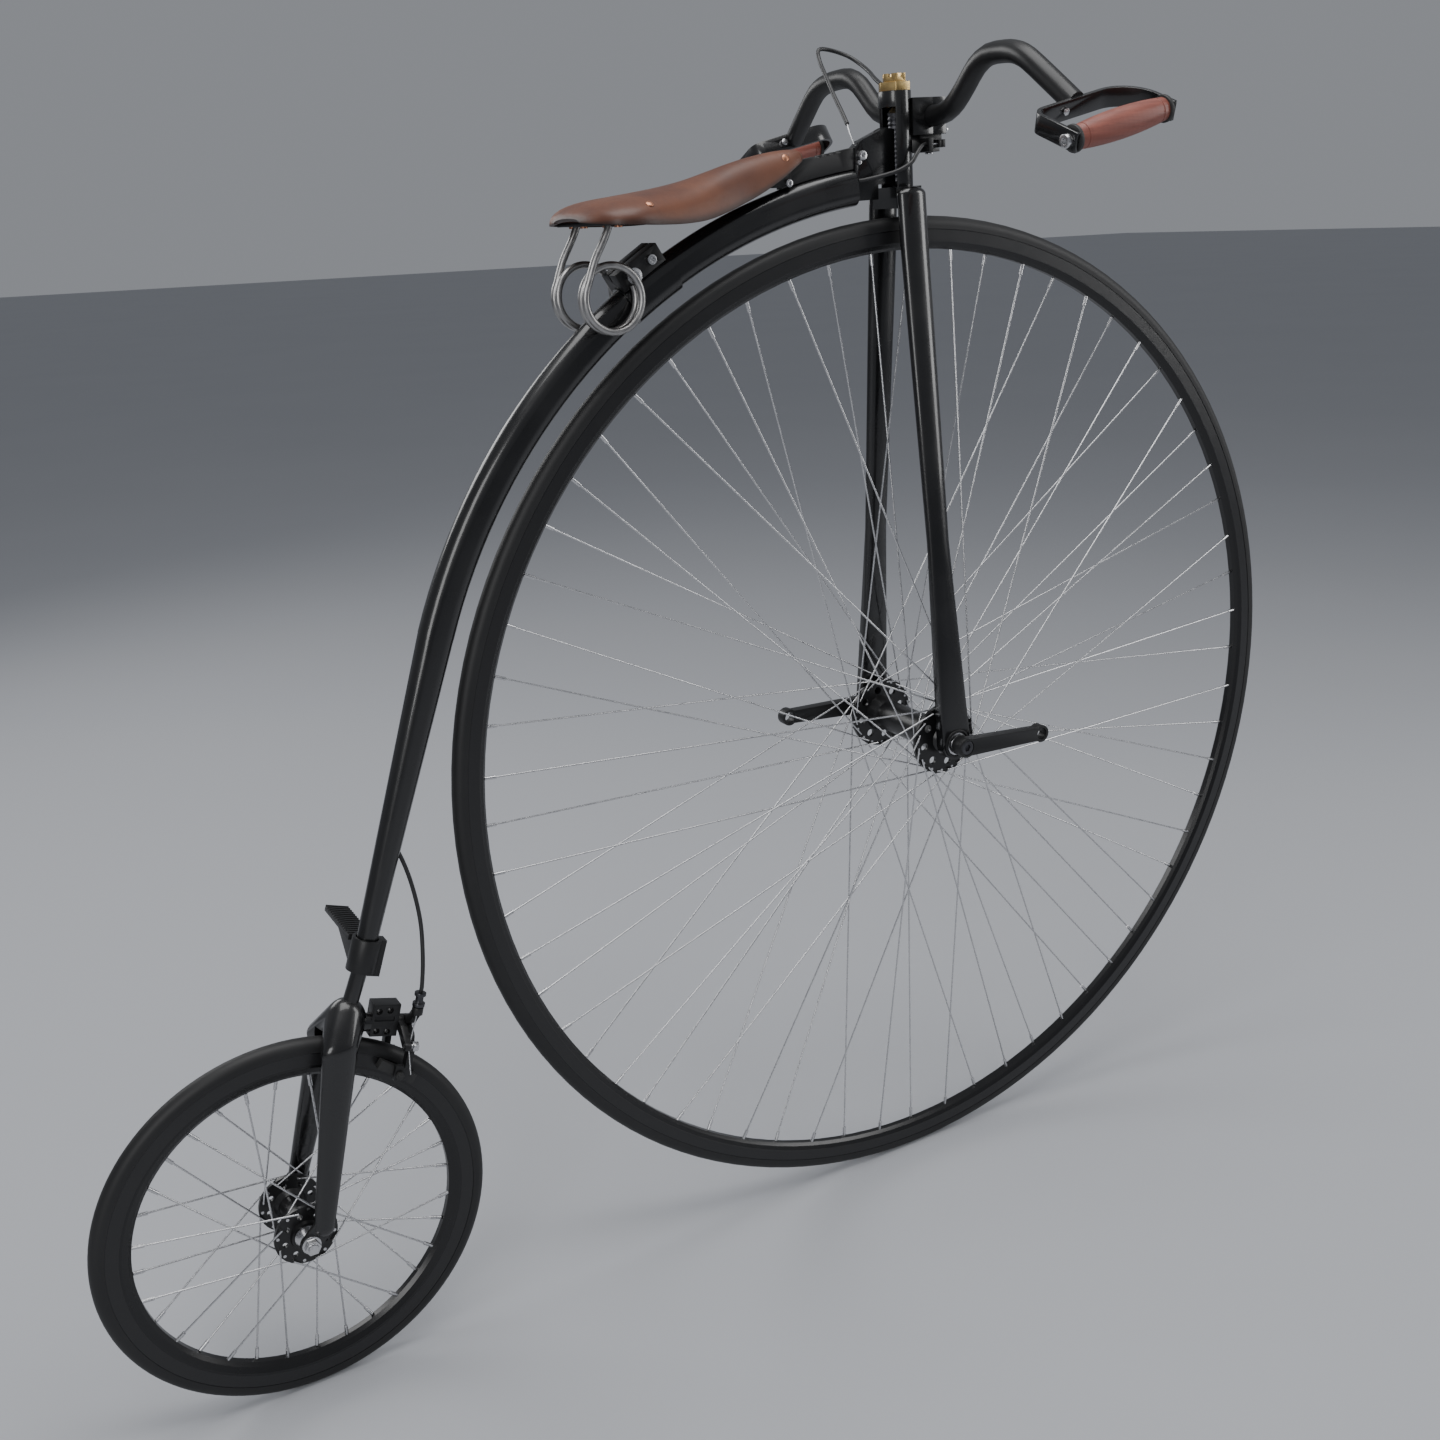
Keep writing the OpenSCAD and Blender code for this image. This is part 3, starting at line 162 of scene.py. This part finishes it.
studio_paper, surface, spot = finish("studio_paper", Roughness=0.9)
feed(surface, Base_Color=spot.noise(0.8).mix((0.42, 0.43, 0.455), (0.45, 0.46, 0.485)))
bpy.ops.object.select_all(action="DESELECT")
floor_size, floor_gap = 90, 0.0005
bpy.ops.mesh.primitive_plane_add(size=floor_size, location=(0, 0, cad_box[0].z - floor_gap))
studio_floor = bpy.context.object
studio_floor.name = "studio_floor"
studio_floor.data.materials.append(studio_paper)
for name, place, aim, wide, high, watts in [
        ("lamp_overhead", (-0.2, -0.3, 3.4), (-0.1, 0, 0.4), 2.6, 2.2, 75),
        ("lamp_left", (-2.6, -2.6, 1.9), (-0.1, 0, 0.7), 1.2, 2.2, 42),
        ("lamp_front", (3.0, -1.6, 1.9), (0.1, 0, 0.7), 1.0, 2.4, 38),
        ("lamp_far", (-1.4, 3.0, 2.3), (-0.1, 0, 0.7), 2.4, 1.2, 36)]:
    lamp = bpy.data.objects.new(name, bpy.data.lights.new(name, "AREA"))
    lamp.data.shape, lamp.data.size, lamp.data.size_y = "RECTANGLE", wide, high
    lamp.data.energy = watts
    lamp.location = place
    lamp.rotation_euler = (Vector(aim) - Vector(place)).to_track_quat("-Z", "Y").to_euler()
    bpy.context.scene.collection.objects.link(lamp)
room = bpy.data.worlds.new("studio_room")
bpy.context.scene.world = room
room.use_nodes = True
room_light = room.node_tree.nodes["Background"]
room_light.inputs["Color"].default_value = (0.50, 0.52, 0.56, 1)
room_light.inputs["Strength"].default_value = 0.5

# Brake cable and bar cable
# Black plastic housings over steel wire, 4.5 mm across. One runs from the lever into the neck, one
# loops from beside the head nuts to the neck, and one leaves the backbone for the rear brake.
front_axle_at = Vector((0.214, 0, 0.6))
rear_axle_at = Vector((-0.604, 0, 0.21))
steering_lean = math.radians(1.64)
mm = 0.001


def on_steering(at):
    """A point given in millimetres from the front axle, up the leaning steering axis."""
    x, y, z = Vector(at) * mm
    return front_axle_at + Vector((x * math.cos(steering_lean) - z * math.sin(steering_lean), y,
                                   x * math.sin(steering_lean) + z * math.cos(steering_lean)))


def from_front_axle(at):
    """A point given in millimetres from the middle of the front axle, level and plumb."""
    return front_axle_at + Vector(at) * mm


def between(a, b, c, d, t):
    """A share of the way from b to c on a smooth curve through four neighbours."""
    return 0.5 * (2 * b + (c - a) * t + (2 * a - 5 * b + 4 * c - d) * t ** 2
                  + (3 * b - a - 3 * c + d) * t ** 3)


def eased(route, steps):
    """Points on one smooth curve through a route."""
    points = []
    for i in range(len(route) - 1):
        near = [route[min(max(i + k, 0), len(route) - 1)] for k in (-1, 0, 1, 2)]
        points += [between(*near, k / steps) for k in range(steps)]
    return points + [route[-1]]


def drawn_wire(name, points, thickness, material, sides):
    """A round wire along points, its ends closed."""
    line = bpy.data.curves.new(name, "CURVE")
    line.dimensions, line.bevel_depth, line.bevel_resolution = "3D", thickness / 2, sides
    line.use_fill_caps = True
    spline = line.splines.new("POLY")
    spline.points.add(len(points) - 1)
    for made, point in zip(spline.points, points):
        made.co = (*point, 1)
    wire = bpy.data.objects.new(name, line)
    bpy.context.scene.collection.objects.link(wire)
    bpy.ops.object.select_all(action="DESELECT")
    wire.select_set(True)
    bpy.context.view_layer.objects.active = wire
    bpy.ops.object.convert(target="MESH")
    bpy.ops.object.shade_smooth_by_angle(angle=math.radians(50))
    wire = bpy.context.object
    wire.data.materials.clear()
    wire.data.materials.append(material)
    return wire


def route_length(points):
    return sum((b - a).length for a, b in zip(points, points[1:]))


housing_d, inner_wire_d = 4.5 * mm, 1.5 * mm
housing_black, surface, spot = finish("housing_black")
mottle = spot.noise(260)
feed(surface, bump=spot.noise(2600), depth=0.000003,
     Base_Color=mottle.mix((0.010, 0.010, 0.011), (0.020, 0.020, 0.021)),
     Roughness=mottle * 0.15 + 0.34)
inner_steel, surface, spot = finish("inner_steel", Metallic=1.0)
strand = spot.noise(3000, 2)
feed(surface, bump=strand, depth=0.000012, Roughness=strand * 0.2 + 0.28,
     Base_Color=strand.mix((0.42, 0.42, 0.43), (0.68, 0.68, 0.69)))
lever_route = [on_steering(p) for p in [
    (26, -22, 673), (23, -22, 673), (16, -23.5, 670), (8, -26, 663), (0, -27, 655),
    (-16, -26, 648), (-32, -21, 644), (-48, -13, 641), (-57, -9, 640)]]
bar_route = [on_steering(p) for p in [
    (-2, 21, 738), (3, 40, 746), (14, 64, 754), (18, 88, 765), (12, 104, 775), (-6, 112, 782),
    (-22, 110, 782), (-26, 103, 770), (-34, 80, 752), (-42, 56, 733), (-49, 30, 712),
    (-53, 15, 699)]]
rear_route = [from_front_axle(p) for p in [
    (-675, 0, 16), (-664, -1, 0), (-655, -6, -35), (-652, -15, -78), (-656, -23, -116)]]
pivot_at = rear_axle_at + Vector((130, 0, 196)) * mm
pivot_lean = math.radians(16)


def by_pivot(at):
    """A point in millimetres from the caliper pivot, along its bolt, across, and up the caliper."""
    x, y, z = Vector(at) * mm
    return pivot_at + Vector((x * math.cos(pivot_lean) + z * math.sin(pivot_lean), y,
                              z * math.cos(pivot_lean) - x * math.sin(pivot_lean)))


rear_route += [by_pivot((12.2, -27, 54)), by_pivot((12.2, -27, 44.8))]
cables = [
    ("lever_cable", "lever_cable_housing", eased(lever_route, 6), "medium",
     "lever_cable_wire", "steering",
     [on_steering(p) for p in [(27.1, -22, 673), (38, -22, 673), (49.1, -22, 673)]]),
    ("bar_cable", "bar_cable_housing", eased(bar_route, 5), "stiff",
     "bar_cable_wire", "frame",
     eased([on_steering(p) for p in [(-53, 15, 699), (-55, 8, 689), (-55, 1, 677.5)]], 4)),
    ("rear_brake_cable", "rear_cable_housing", eased(rear_route, 6), "stiff",
     "rear_cable_wire", "frame",
     [by_pivot(p) for p in [(12.2, -27, 45), (12.2, -27, 19), (9, -30.15, -8),
                            (9, -30.15, -20), (12, -39.15, -44)]])]
for node, name, line, stiffness, wire_name, wire_body, wire_line in cables:
    housing = drawn_wire(name, line, housing_d, housing_black, 5)
    wire = drawn_wire(wire_name, wire_line, inner_wire_d, inner_steel, 2)
    if node == "rear_brake_cable":
        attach(housing, "frame")
    else:
        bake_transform(housing)
    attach(wire, wire_body)
    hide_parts(node)
    round(route_length(line), 4)

# Backbone and neck
# Two drawn oval steel tubes, plugged together under a thicker end sleeve, welded at the front to a
# thick neck plate, all in black gloss enamel.
black_enamel, surface, spot = finish("black_enamel", Coat_Weight=0.5, Coat_Roughness=0.06)
haze = spot.noise(14, 4)
feed(surface, bump=spot.noise(260, 2), depth=0.000008,
     Base_Color=haze.mix((0.0035, 0.0035, 0.004), (0.006, 0.006, 0.0065)),
     Roughness=haze.fade(0.3, 0.8, 0.20, 0.34) + spot.noise(1800, 1) * 0.05)


same_point, same_plane = 2e-6, math.radians(0.6)


def painted(node, material, edge=0.0, angle=35):
    """A copy of a CAD node with its triangles joined into smooth faces and its edges eased."""
    cad = frame["nodes"][node]
    piece = bpy.data.objects.new(node + "_finished", cad.data.copy())
    bpy.context.scene.collection.objects.link(piece)
    bpy.ops.object.select_all(action="DESELECT")
    piece.select_set(True)
    bpy.context.view_layer.objects.active = piece
    bpy.ops.mesh.customdata_custom_splitnormals_clear()
    bpy.ops.object.mode_set(mode="EDIT")
    bpy.ops.mesh.select_all(action="SELECT")
    bpy.ops.mesh.remove_doubles(threshold=same_point)
    if edge:
        bpy.ops.mesh.dissolve_limited(angle_limit=same_plane)
    bpy.ops.object.mode_set(mode="OBJECT")
    if edge:
        eased_edge = piece.modifiers.new("eased_edge", "BEVEL")
        eased_edge.width, eased_edge.segments = edge, 2
        eased_edge.limit_method, eased_edge.angle_limit = "ANGLE", math.radians(angle)
        bpy.ops.object.modifier_apply(modifier=eased_edge.name)
    bpy.ops.object.shade_smooth_by_angle(angle=math.radians(angle))
    piece.data.materials.clear()
    piece.data.materials.append(material)
    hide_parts(node)
    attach(piece, cad["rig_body"])
    return piece


def dressed(material, *nodes):
    """Gives CAD nodes whose shape is right their finish."""
    for node in nodes:
        for material_slot in frame["nodes"][node].material_slots:
            material_slot.material = material


dressed(black_enamel, "backbone_front")
painted("backbone_rear", black_enamel)
painted("neck", black_enamel, edge=0.0012)

# Spindle and frame bolts
# A dark turned spindle with a coarse thread stands in the open head, fixed in the neck. Bright
# socket bolts cross the neck, the spring clamp and the nose clamp.
dark_steel, surface, spot = finish("dark_steel", Metallic=1.0)
oil = spot.noise(90, 4)
feed(surface, bump=spot.noise(900, 2, (1, 1, 4)), depth=0.000006, Roughness=oil * 0.25 + 0.26,
     Base_Color=oil.mix((0.05, 0.05, 0.055), (0.13, 0.13, 0.14)))
bright_steel, surface, spot = finish("bright_steel", Metallic=1.0)
wear = spot.noise(160, 4)
feed(surface, bump=spot.noise(1400, 2), depth=0.000004, Roughness=wear * 0.22 + 0.16,
     Base_Color=wear.mix((0.50, 0.50, 0.51), (0.72, 0.72, 0.73)))
dressed(dark_steel, "steering_spindle")
painted("frame_bolts", bright_steel, edge=0.0004)

# Saddle rail and spring clamp
# A notched plate welded along the top of the backbone, which the nose of the saddle slides on, and
# a split block bolted over the end sleeve, which grips both springs.
satin_black, surface, spot = finish("satin_black")
grit = spot.noise(700, 3)
feed(surface, bump=grit, depth=0.00002, Roughness=grit * 0.14 + 0.36,
     Base_Color=spot.noise(30).mix((0.0045, 0.0045, 0.005), (0.009, 0.009, 0.0095)))
painted("saddle_rail", satin_black, edge=0.0006)
painted("spring_clamp", satin_black, edge=0.001)
painted("saddle_nose_clamp", satin_black, edge=0.0008)
painted("saddle_frame", satin_black, edge=0.0008)

# Saddle leather
# One thick piece of oak-tanned hide, wetted and moulded over a form, broad at the back and narrow at
# the nose, hung between the cantle plate and the nose clamp. Its burnished edge is darker.
hide_t = 4.6 * mm
hide_edge_r = 1.4 * mm
# Sections from back to front, in millimetres: place from the front axle, half width, and heights of
# the middle and the lower edge above the floor. The last value makes a section fuller.
hide_stations = [
    (-421, 30, 1212.0, 1207.5, 2.2), (-416, 52, 1217.5, 1206.0, 2.4),
    (-407, 69, 1223.0, 1205.0, 2.6), (-395, 77.5, 1227.0, 1204.4, 2.7),
    (-380, 79.5, 1230.0, 1203.8, 2.7), (-362, 76.0, 1232.8, 1203.0, 2.6),
    (-340, 67.5, 1236.5, 1202.5, 2.45), (-314, 57.0, 1241.0, 1202.6, 2.3),
    (-286, 46.5, 1246.5, 1205.0, 2.2), (-258, 35.5, 1253.5, 1211.0, 2.1),
    (-231, 27.5, 1260.5, 1219.5, 2.1), (-205, 23.0, 1266.0, 1229.5, 2.1),
    (-180, 19.5, 1270.0, 1242.0, 2.1), (-162, 16.5, 1271.5, 1252.5, 2.1),
    (-151, 12.5, 1270.8, 1258.5, 2.1), (-146, 7.0, 1268.5, 1262.5, 2.1)]
hide_rows, hide_cols = 72, 41
dish_at, dish_reach, dish_depth = -305, 60, 2.2
skirt_from, back_share, nose_share = 0.86, 0.07, 0.05


def hide_section(along):
    """The stations' values at a share of the saddle's length, on a smooth curve."""
    last = len(hide_stations) - 1
    i = min(int(along * last), last - 1)
    near = [hide_stations[min(max(i + k, 0), last)] for k in (-1, 0, 1, 2)]
    return [between(*values, along * last - i) for values in zip(*near)]


def hide_point(along, side):
    """A point on the top of the hide: along from 0 to 1, and side from -1 to 1 over its width."""
    x, half_width, top, low, fullness = hide_section(along)
    swing = abs(side) * math.pi / 2
    out = math.sin(swing) ** (2 / fullness)
    rise = max(math.cos(swing), 0) ** (2 / fullness)
    dish = dish_depth * math.exp(-((x - dish_at) / dish_reach) ** 2) * rise ** 2
    return Vector((x + front_axle_at.x / mm, math.copysign(half_width * out, side),
                   low + (top - low) * rise - dish)) * mm


bpy.ops.object.select_all(action="DESELECT")
bpy.ops.mesh.primitive_grid_add(x_subdivisions=hide_rows, y_subdivisions=hide_cols, size=2)
hide = bpy.context.object
hide.name = "saddle_hide"
burnish = hide.data.attributes.new("burnish", "FLOAT", "POINT")
for vertex, mark in zip(hide.data.vertices, burnish.data):
    along, side = (vertex.co.x + 1) / 2, vertex.co.y
    mark.value = max(0, (abs(side) - skirt_from) / (1 - skirt_from), 1 - along / back_share,
                     1 - (1 - along) / nose_share)
    vertex.co = hide_point(along, side)
bpy.ops.object.mode_set(mode="EDIT")
bpy.ops.mesh.select_all(action="SELECT")
bpy.ops.mesh.normals_make_consistent(inside=False)
bpy.ops.object.mode_set(mode="OBJECT")
wall = hide.modifiers.new("hide_thickness", "SOLIDIFY")
wall.thickness, wall.offset, wall.use_even_offset = hide_t, -1, True
bpy.ops.object.modifier_apply(modifier=wall.name)
rounding = hide.modifiers.new("hide_edge", "BEVEL")
rounding.width, rounding.segments, rounding.angle_limit = hide_edge_r, 3, math.radians(50)
bpy.ops.object.modifier_apply(modifier=rounding.name)
bpy.ops.object.shade_smooth_by_angle(angle=math.radians(60))
oak_leather, surface, spot = finish("oak_leather", Coat_Weight=0.08, Coat_Roughness=0.3)
edge_mark = Shade(surface.id_data).node("Attribute", {"attribute_name": "burnish"}, out=2)
stain = spot.noise(16, 5)
fleck = spot.noise(75, 4)
pores = spot.node("TexVoronoi", {"feature": "F1"}, {"Vector": spot, "Scale": 900})
creases = spot.noise(240, 5, (1, 0.55, 1))
tan = stain.fade(0.3, 0.72).mix((0.074, 0.021, 0.009), (0.132, 0.043, 0.018))
tan = (fleck.fade(0.45, 0.8) * 0.35).mix(tan, (0.055, 0.019, 0.011))
feed(surface, bump=pores * 0.4 + creases * 0.8 + stain * 6, depth=0.00005,
     Base_Color=(edge_mark.fade(0.1, 1) * 0.85).mix(tan, (0.020, 0.008, 0.005)),
     Roughness=creases * 0.16 + stain * 0.12 + 0.36)
hide.data.materials.append(oak_leather)
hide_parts("saddle_leather")
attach(hide, "frame")

# Saddle rivets
# Copper rivets, domed over with a hammer, hold the hide to the cantle plate below it, with one more
# through each side of the skirt at the back and at the nose.
copper, surface, spot = finish("copper", Metallic=1.0)
tarnish = spot.noise(300, 4)
feed(surface, bump=spot.noise(1500, 2), depth=0.000005, Roughness=tarnish * 0.25 + 0.28,
     Base_Color=tarnish.mix((0.36, 0.15, 0.085), (0.62, 0.31, 0.20)))
dressed(copper, "saddle_rivets")
rivet_r, rivet_crown, rivet_seat = 4.2 * mm, 0.36, 0.2
skirt_lean, crown_lean = 30, 1.2
for number, (rivet_x, side_share) in enumerate([(-362, 0.62), (-172, 0.55)]):
    for side, name in ((-1, "right"), (1, "left")):
        along = min(range(101), key=lambda k: abs(hide_section(k / 100)[0] - rivet_x)) / 100
        _, half_width, top, low, fullness = hide_section(along)
        swing = side_share * math.pi / 2
        place = Vector((rivet_x + front_axle_at.x / mm,
                        side * half_width * math.sin(swing) ** (2 / fullness),
                        low + (top - low) * math.cos(swing) ** (2 / fullness))) * mm
        facing = Vector((0, side * math.sin(swing) * skirt_lean / half_width,
                         math.cos(swing) / crown_lean))
        bpy.ops.object.select_all(action="DESELECT")
        bpy.ops.mesh.primitive_uv_sphere_add(segments=24, ring_count=12, radius=rivet_r)
        rivet = bpy.context.object
        rivet.name = f"skirt_rivet_{number + 1}_{name}"
        for vertex in rivet.data.vertices:
            vertex.co.z *= rivet_crown if vertex.co.z > 0 else rivet_seat
        rivet.matrix_world = (Matrix.Translation(place)
                              @ facing.to_track_quat("Z", "Y").to_matrix().to_4x4())
        bpy.ops.object.transform_apply(location=True, rotation=True, scale=True)
        bpy.ops.object.shade_smooth()
        rivet.data.materials.append(copper)
        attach(rivet, "frame")

# Saddle springs
# Two hairpins of bright 7.5 mm spring wire: down from the cantle plate, round more than one and a
# half turns, and into the sides of the clamp on the backbone.
spring_wire = 7.5 * mm
spring_steel, surface, spot = finish("spring_steel", Metallic=1.0)
scale_marks = spot.noise(120, 5)
feed(surface, bump=spot.noise(1100, 3), depth=0.000008,
     Roughness=scale_marks.fade(0.3, 0.75, 0.30, 0.46),
     Base_Color=scale_marks.mix((0.26, 0.255, 0.25), (0.46, 0.455, 0.45)))
cantle_x, cantle_z = -390, 606
leg_y, leg_bends = 37, [(3, 2.3), (7, 11), (14, 23), (21, 35)]
backbone_r, clamp_half, spring_gap = 662.6, 15.5, 0.1
coil_x, coil_r, coil_start, coil_turn, coil_points = -391, 32, 150, 590, 47
coil_z = math.sqrt(backbone_r ** 2 - coil_x ** 2)
coil_inward = leg_y - clamp_half - spring_wire / mm / 2 - spring_gap
inward_from, inward_ease = 20, 1.4
for side, name in ((-1, "right"), (1, "left")):
    bends = [(cantle_x - back, side * leg_y, cantle_z - down) for back, down in leg_bends]
    for k in range(coil_points + 1):
        turned = coil_turn * k / coil_points
        at = math.radians(coil_start + turned)
        inward = max(0, (turned - inward_from) / (coil_turn - inward_from)) ** inward_ease
        bends.append((coil_x + coil_r * math.cos(at), side * (leg_y - coil_inward * inward),
                      coil_z + coil_r * math.sin(at)))
    spring = drawn_wire(f"saddle_spring_{name}", eased([from_front_axle(p) for p in bends], 2),
                        spring_wire, spring_steel, 6)
    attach(spring, "frame")
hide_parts("saddle_springs")

# Mounting step
# A cast toothed step on a clamp collar near the foot of the backbone, for the left foot.
painted("step_collar", satin_black, edge=0.0012)
painted("mounting_step", satin_black, edge=0.0005)

# Rear fork and axle
# A lugged crown with two tapered blades and plate dropouts, enamelled like the backbone. The axle is
# fixed and has a washer and a nut on each end.
painted("rear_fork", black_enamel, angle=32)
painted("rear_axle_nuts", bright_steel, edge=0.0005)
dressed(bright_steel, "rear_axle")

# Rear brake
# Two forged arms cross on one pivot bolt in front of the crown. A rubber pad in each closes on the
# rim, and the cable comes down through a knurled barrel adjuster.
pad_rubber, surface, spot = finish("pad_rubber", Roughness=0.6)
worn = spot.noise(400, 3)
feed(surface, bump=worn, depth=0.00003, Roughness=worn * 0.2 + 0.5,
     Base_Color=worn.mix((0.012, 0.012, 0.012), (0.03, 0.03, 0.03)))
painted("brake_bracket", satin_black, edge=0.0009)
for arm in ("caliper_arm_right", "caliper_arm_left"):
    painted(arm, satin_black, edge=0.0007)
for pad in ("brake_pad_right", "brake_pad_left"):
    painted(pad, pad_rubber, edge=0.0006)
painted("brake_pivot", bright_steel, edge=0.0005)
painted("cable_anchor", bright_steel, edge=0.0004)
painted("barrel_adjuster", dark_steel, edge=0.0003)

# Wheels
# Solid black rubber tyres on black anodised rims with turned braking faces, laced with plain steel
# spokes to flanged hubs that are drilled for lightness.
tyre_rubber, surface, spot = finish("tyre_rubber")
bloom = spot.noise(9, 5)
crumb = spot.noise(1500, 3)
feed(surface, bump=crumb, depth=0.00001, Roughness=bloom * 0.12 + crumb * 0.08 + 0.44,
     Base_Color=bloom.fade(0.35, 0.8).mix((0.0065, 0.0065, 0.007), (0.0115, 0.0115, 0.012)))
track_inner, track_outer, turned_lines = (28.5 * mm, 27.5 * mm), (14.8 * mm, 15.2 * mm), 12000
for name, centre in [("front", front_axle_at), ("rear", rear_axle_at)]:
    radius = centre.z
    dressed(tyre_rubber, name + "_tyre")
    anodised, surface, spot = finish(name + "_rim_black")
    flat = spot.node("VectorMath", {"operation": "MULTIPLY"}, {0: spot, 1: (1, 0, 1)})
    offset = flat.node("VectorMath", {"operation": "SUBTRACT"}, {0: flat, 1: (centre.x, 0, centre.z)})
    reach = offset.node("VectorMath", {"operation": "LENGTH"}, {0: offset}, out=1)
    track = (reach.fade(*(radius - depth for depth in track_inner))
             * reach.fade(*(radius - depth for depth in track_outer)))
    lines = reach.maths("SINE", reach * turned_lines) * 0.5 + 0.5
    smear = spot.noise(60, 4)
    feed(surface, bump=lines * track, depth=0.000012, Roughness=track * 0.06 + smear * 0.08 + 0.22,
         Base_Color=(track * 0.6).mix((0.0045, 0.0045, 0.005), (0.016, 0.016, 0.017)))
    dressed(anodised, name + "_rim")
    dressed(bright_steel, name + "_spokes", name + "_nipples")
hub_black, surface, spot = finish("hub_black")
turned = spot.noise(500, 2, (1, 6, 1))
feed(surface, bump=turned, depth=0.000006, Roughness=turned * 0.12 + 0.24,
     Base_Color=spot.noise(50).mix((0.006, 0.006, 0.0065), (0.012, 0.012, 0.0125)))
dressed(hub_black, "front_hub", "rear_hub")
dressed(bright_steel, "rear_bearings", "front_axle")

# Fork and steering head
# Two tapered oval blades brazed to a thick crown, with the open head column standing on it. The
# bearing holders sit in the fork ends.
painted("fork_blades", black_enamel, angle=32)
painted("fork_head", black_enamel, edge=0.0008)
painted("bearing_holders", satin_black, edge=0.0006)
painted("front_bearings", bright_steel, edge=0.0004)

# Head nuts
# A brass hexagon locks the castellated brass adjuster that closes the head on its spindle.
brass, surface, spot = finish("brass", Metallic=1.0)
patina = spot.noise(130, 4)
feed(surface, bump=spot.noise(900, 2, (1, 1, 3)), depth=0.000005,
     Roughness=patina * 0.22 + 0.18,
     Base_Color=patina.mix((0.46, 0.30, 0.11), (0.78, 0.58, 0.27)))
painted("head_locknut", brass, edge=0.0008)
painted("head_adjuster", brass, edge=0.0005)

# Handlebar
# One bent steel tube held in a two-part clamp by four socket bolts. At each end a flat steel band is
# bent into a D round the grip and screwed to the tube.
bar_black, surface, spot = finish("bar_black")
rubbed = spot.noise(35, 4)
feed(surface, bump=spot.noise(500, 2), depth=0.000006, Roughness=rubbed * 0.12 + 0.34,
     Base_Color=rubbed.mix((0.0045, 0.0045, 0.005), (0.008, 0.008, 0.0085)))
painted("bar_clamp", black_enamel, edge=0.001)
painted("bar_clamp_cap", black_enamel, edge=0.0009)
painted("bar_clamp_bolts", bright_steel, edge=0.0004)
painted("handlebar", bar_black, angle=40)
painted("grip_bands", black_enamel, edge=0.0006)
painted("band_screws", bright_steel, edge=0.0004)

# Grips
# Turned hardwood, reddish and oiled, fullest in the middle, with a groove near each end. A long bolt
# runs through the wood, two black discs and the band.
grip_pitch = math.radians(11) + steering_lean
red_wood, surface, spot = finish("red_wood", Coat_Weight=0.12, Coat_Roughness=0.3)
grain = spot.noise(60, 5, (0.22, 4.5, 4.5), (0, grip_pitch, 0))
streak = spot.noise(240, 3, (0.12, 4, 4), (0, grip_pitch, 0))
shade = grain.fade(0.25, 0.8).mix((0.185, 0.050, 0.035), (0.275, 0.082, 0.058))
feed(surface, bump=streak + grain * 0.6, depth=0.00004,
     Base_Color=(streak.fade(0.5, 0.75) * 0.35).mix(shade, (0.13, 0.038, 0.028)),
     Roughness=streak * 0.2 + grain * 0.1 + 0.34)
dressed(red_wood, "grips")
painted("grip_discs", pad_rubber, edge=0.0008)
painted("grip_bolts", bright_steel, edge=0.0005)

# Brake lever
# A flat forged lever on a pin, in a bracket under the bar clamp. It pulls the wire of the rear brake.
painted("lever_bracket", satin_black, edge=0.0007)
painted("brake_lever", satin_black, edge=0.0012)
painted("lever_pin", bright_steel, edge=0.0004)

# Cranks
# Forged cranks on the ends of the front axle, held by bolts. No pedals are fitted.
painted("cranks", satin_black, edge=0.0018)
painted("crank_bolts", dark_steel, edge=0.0004)
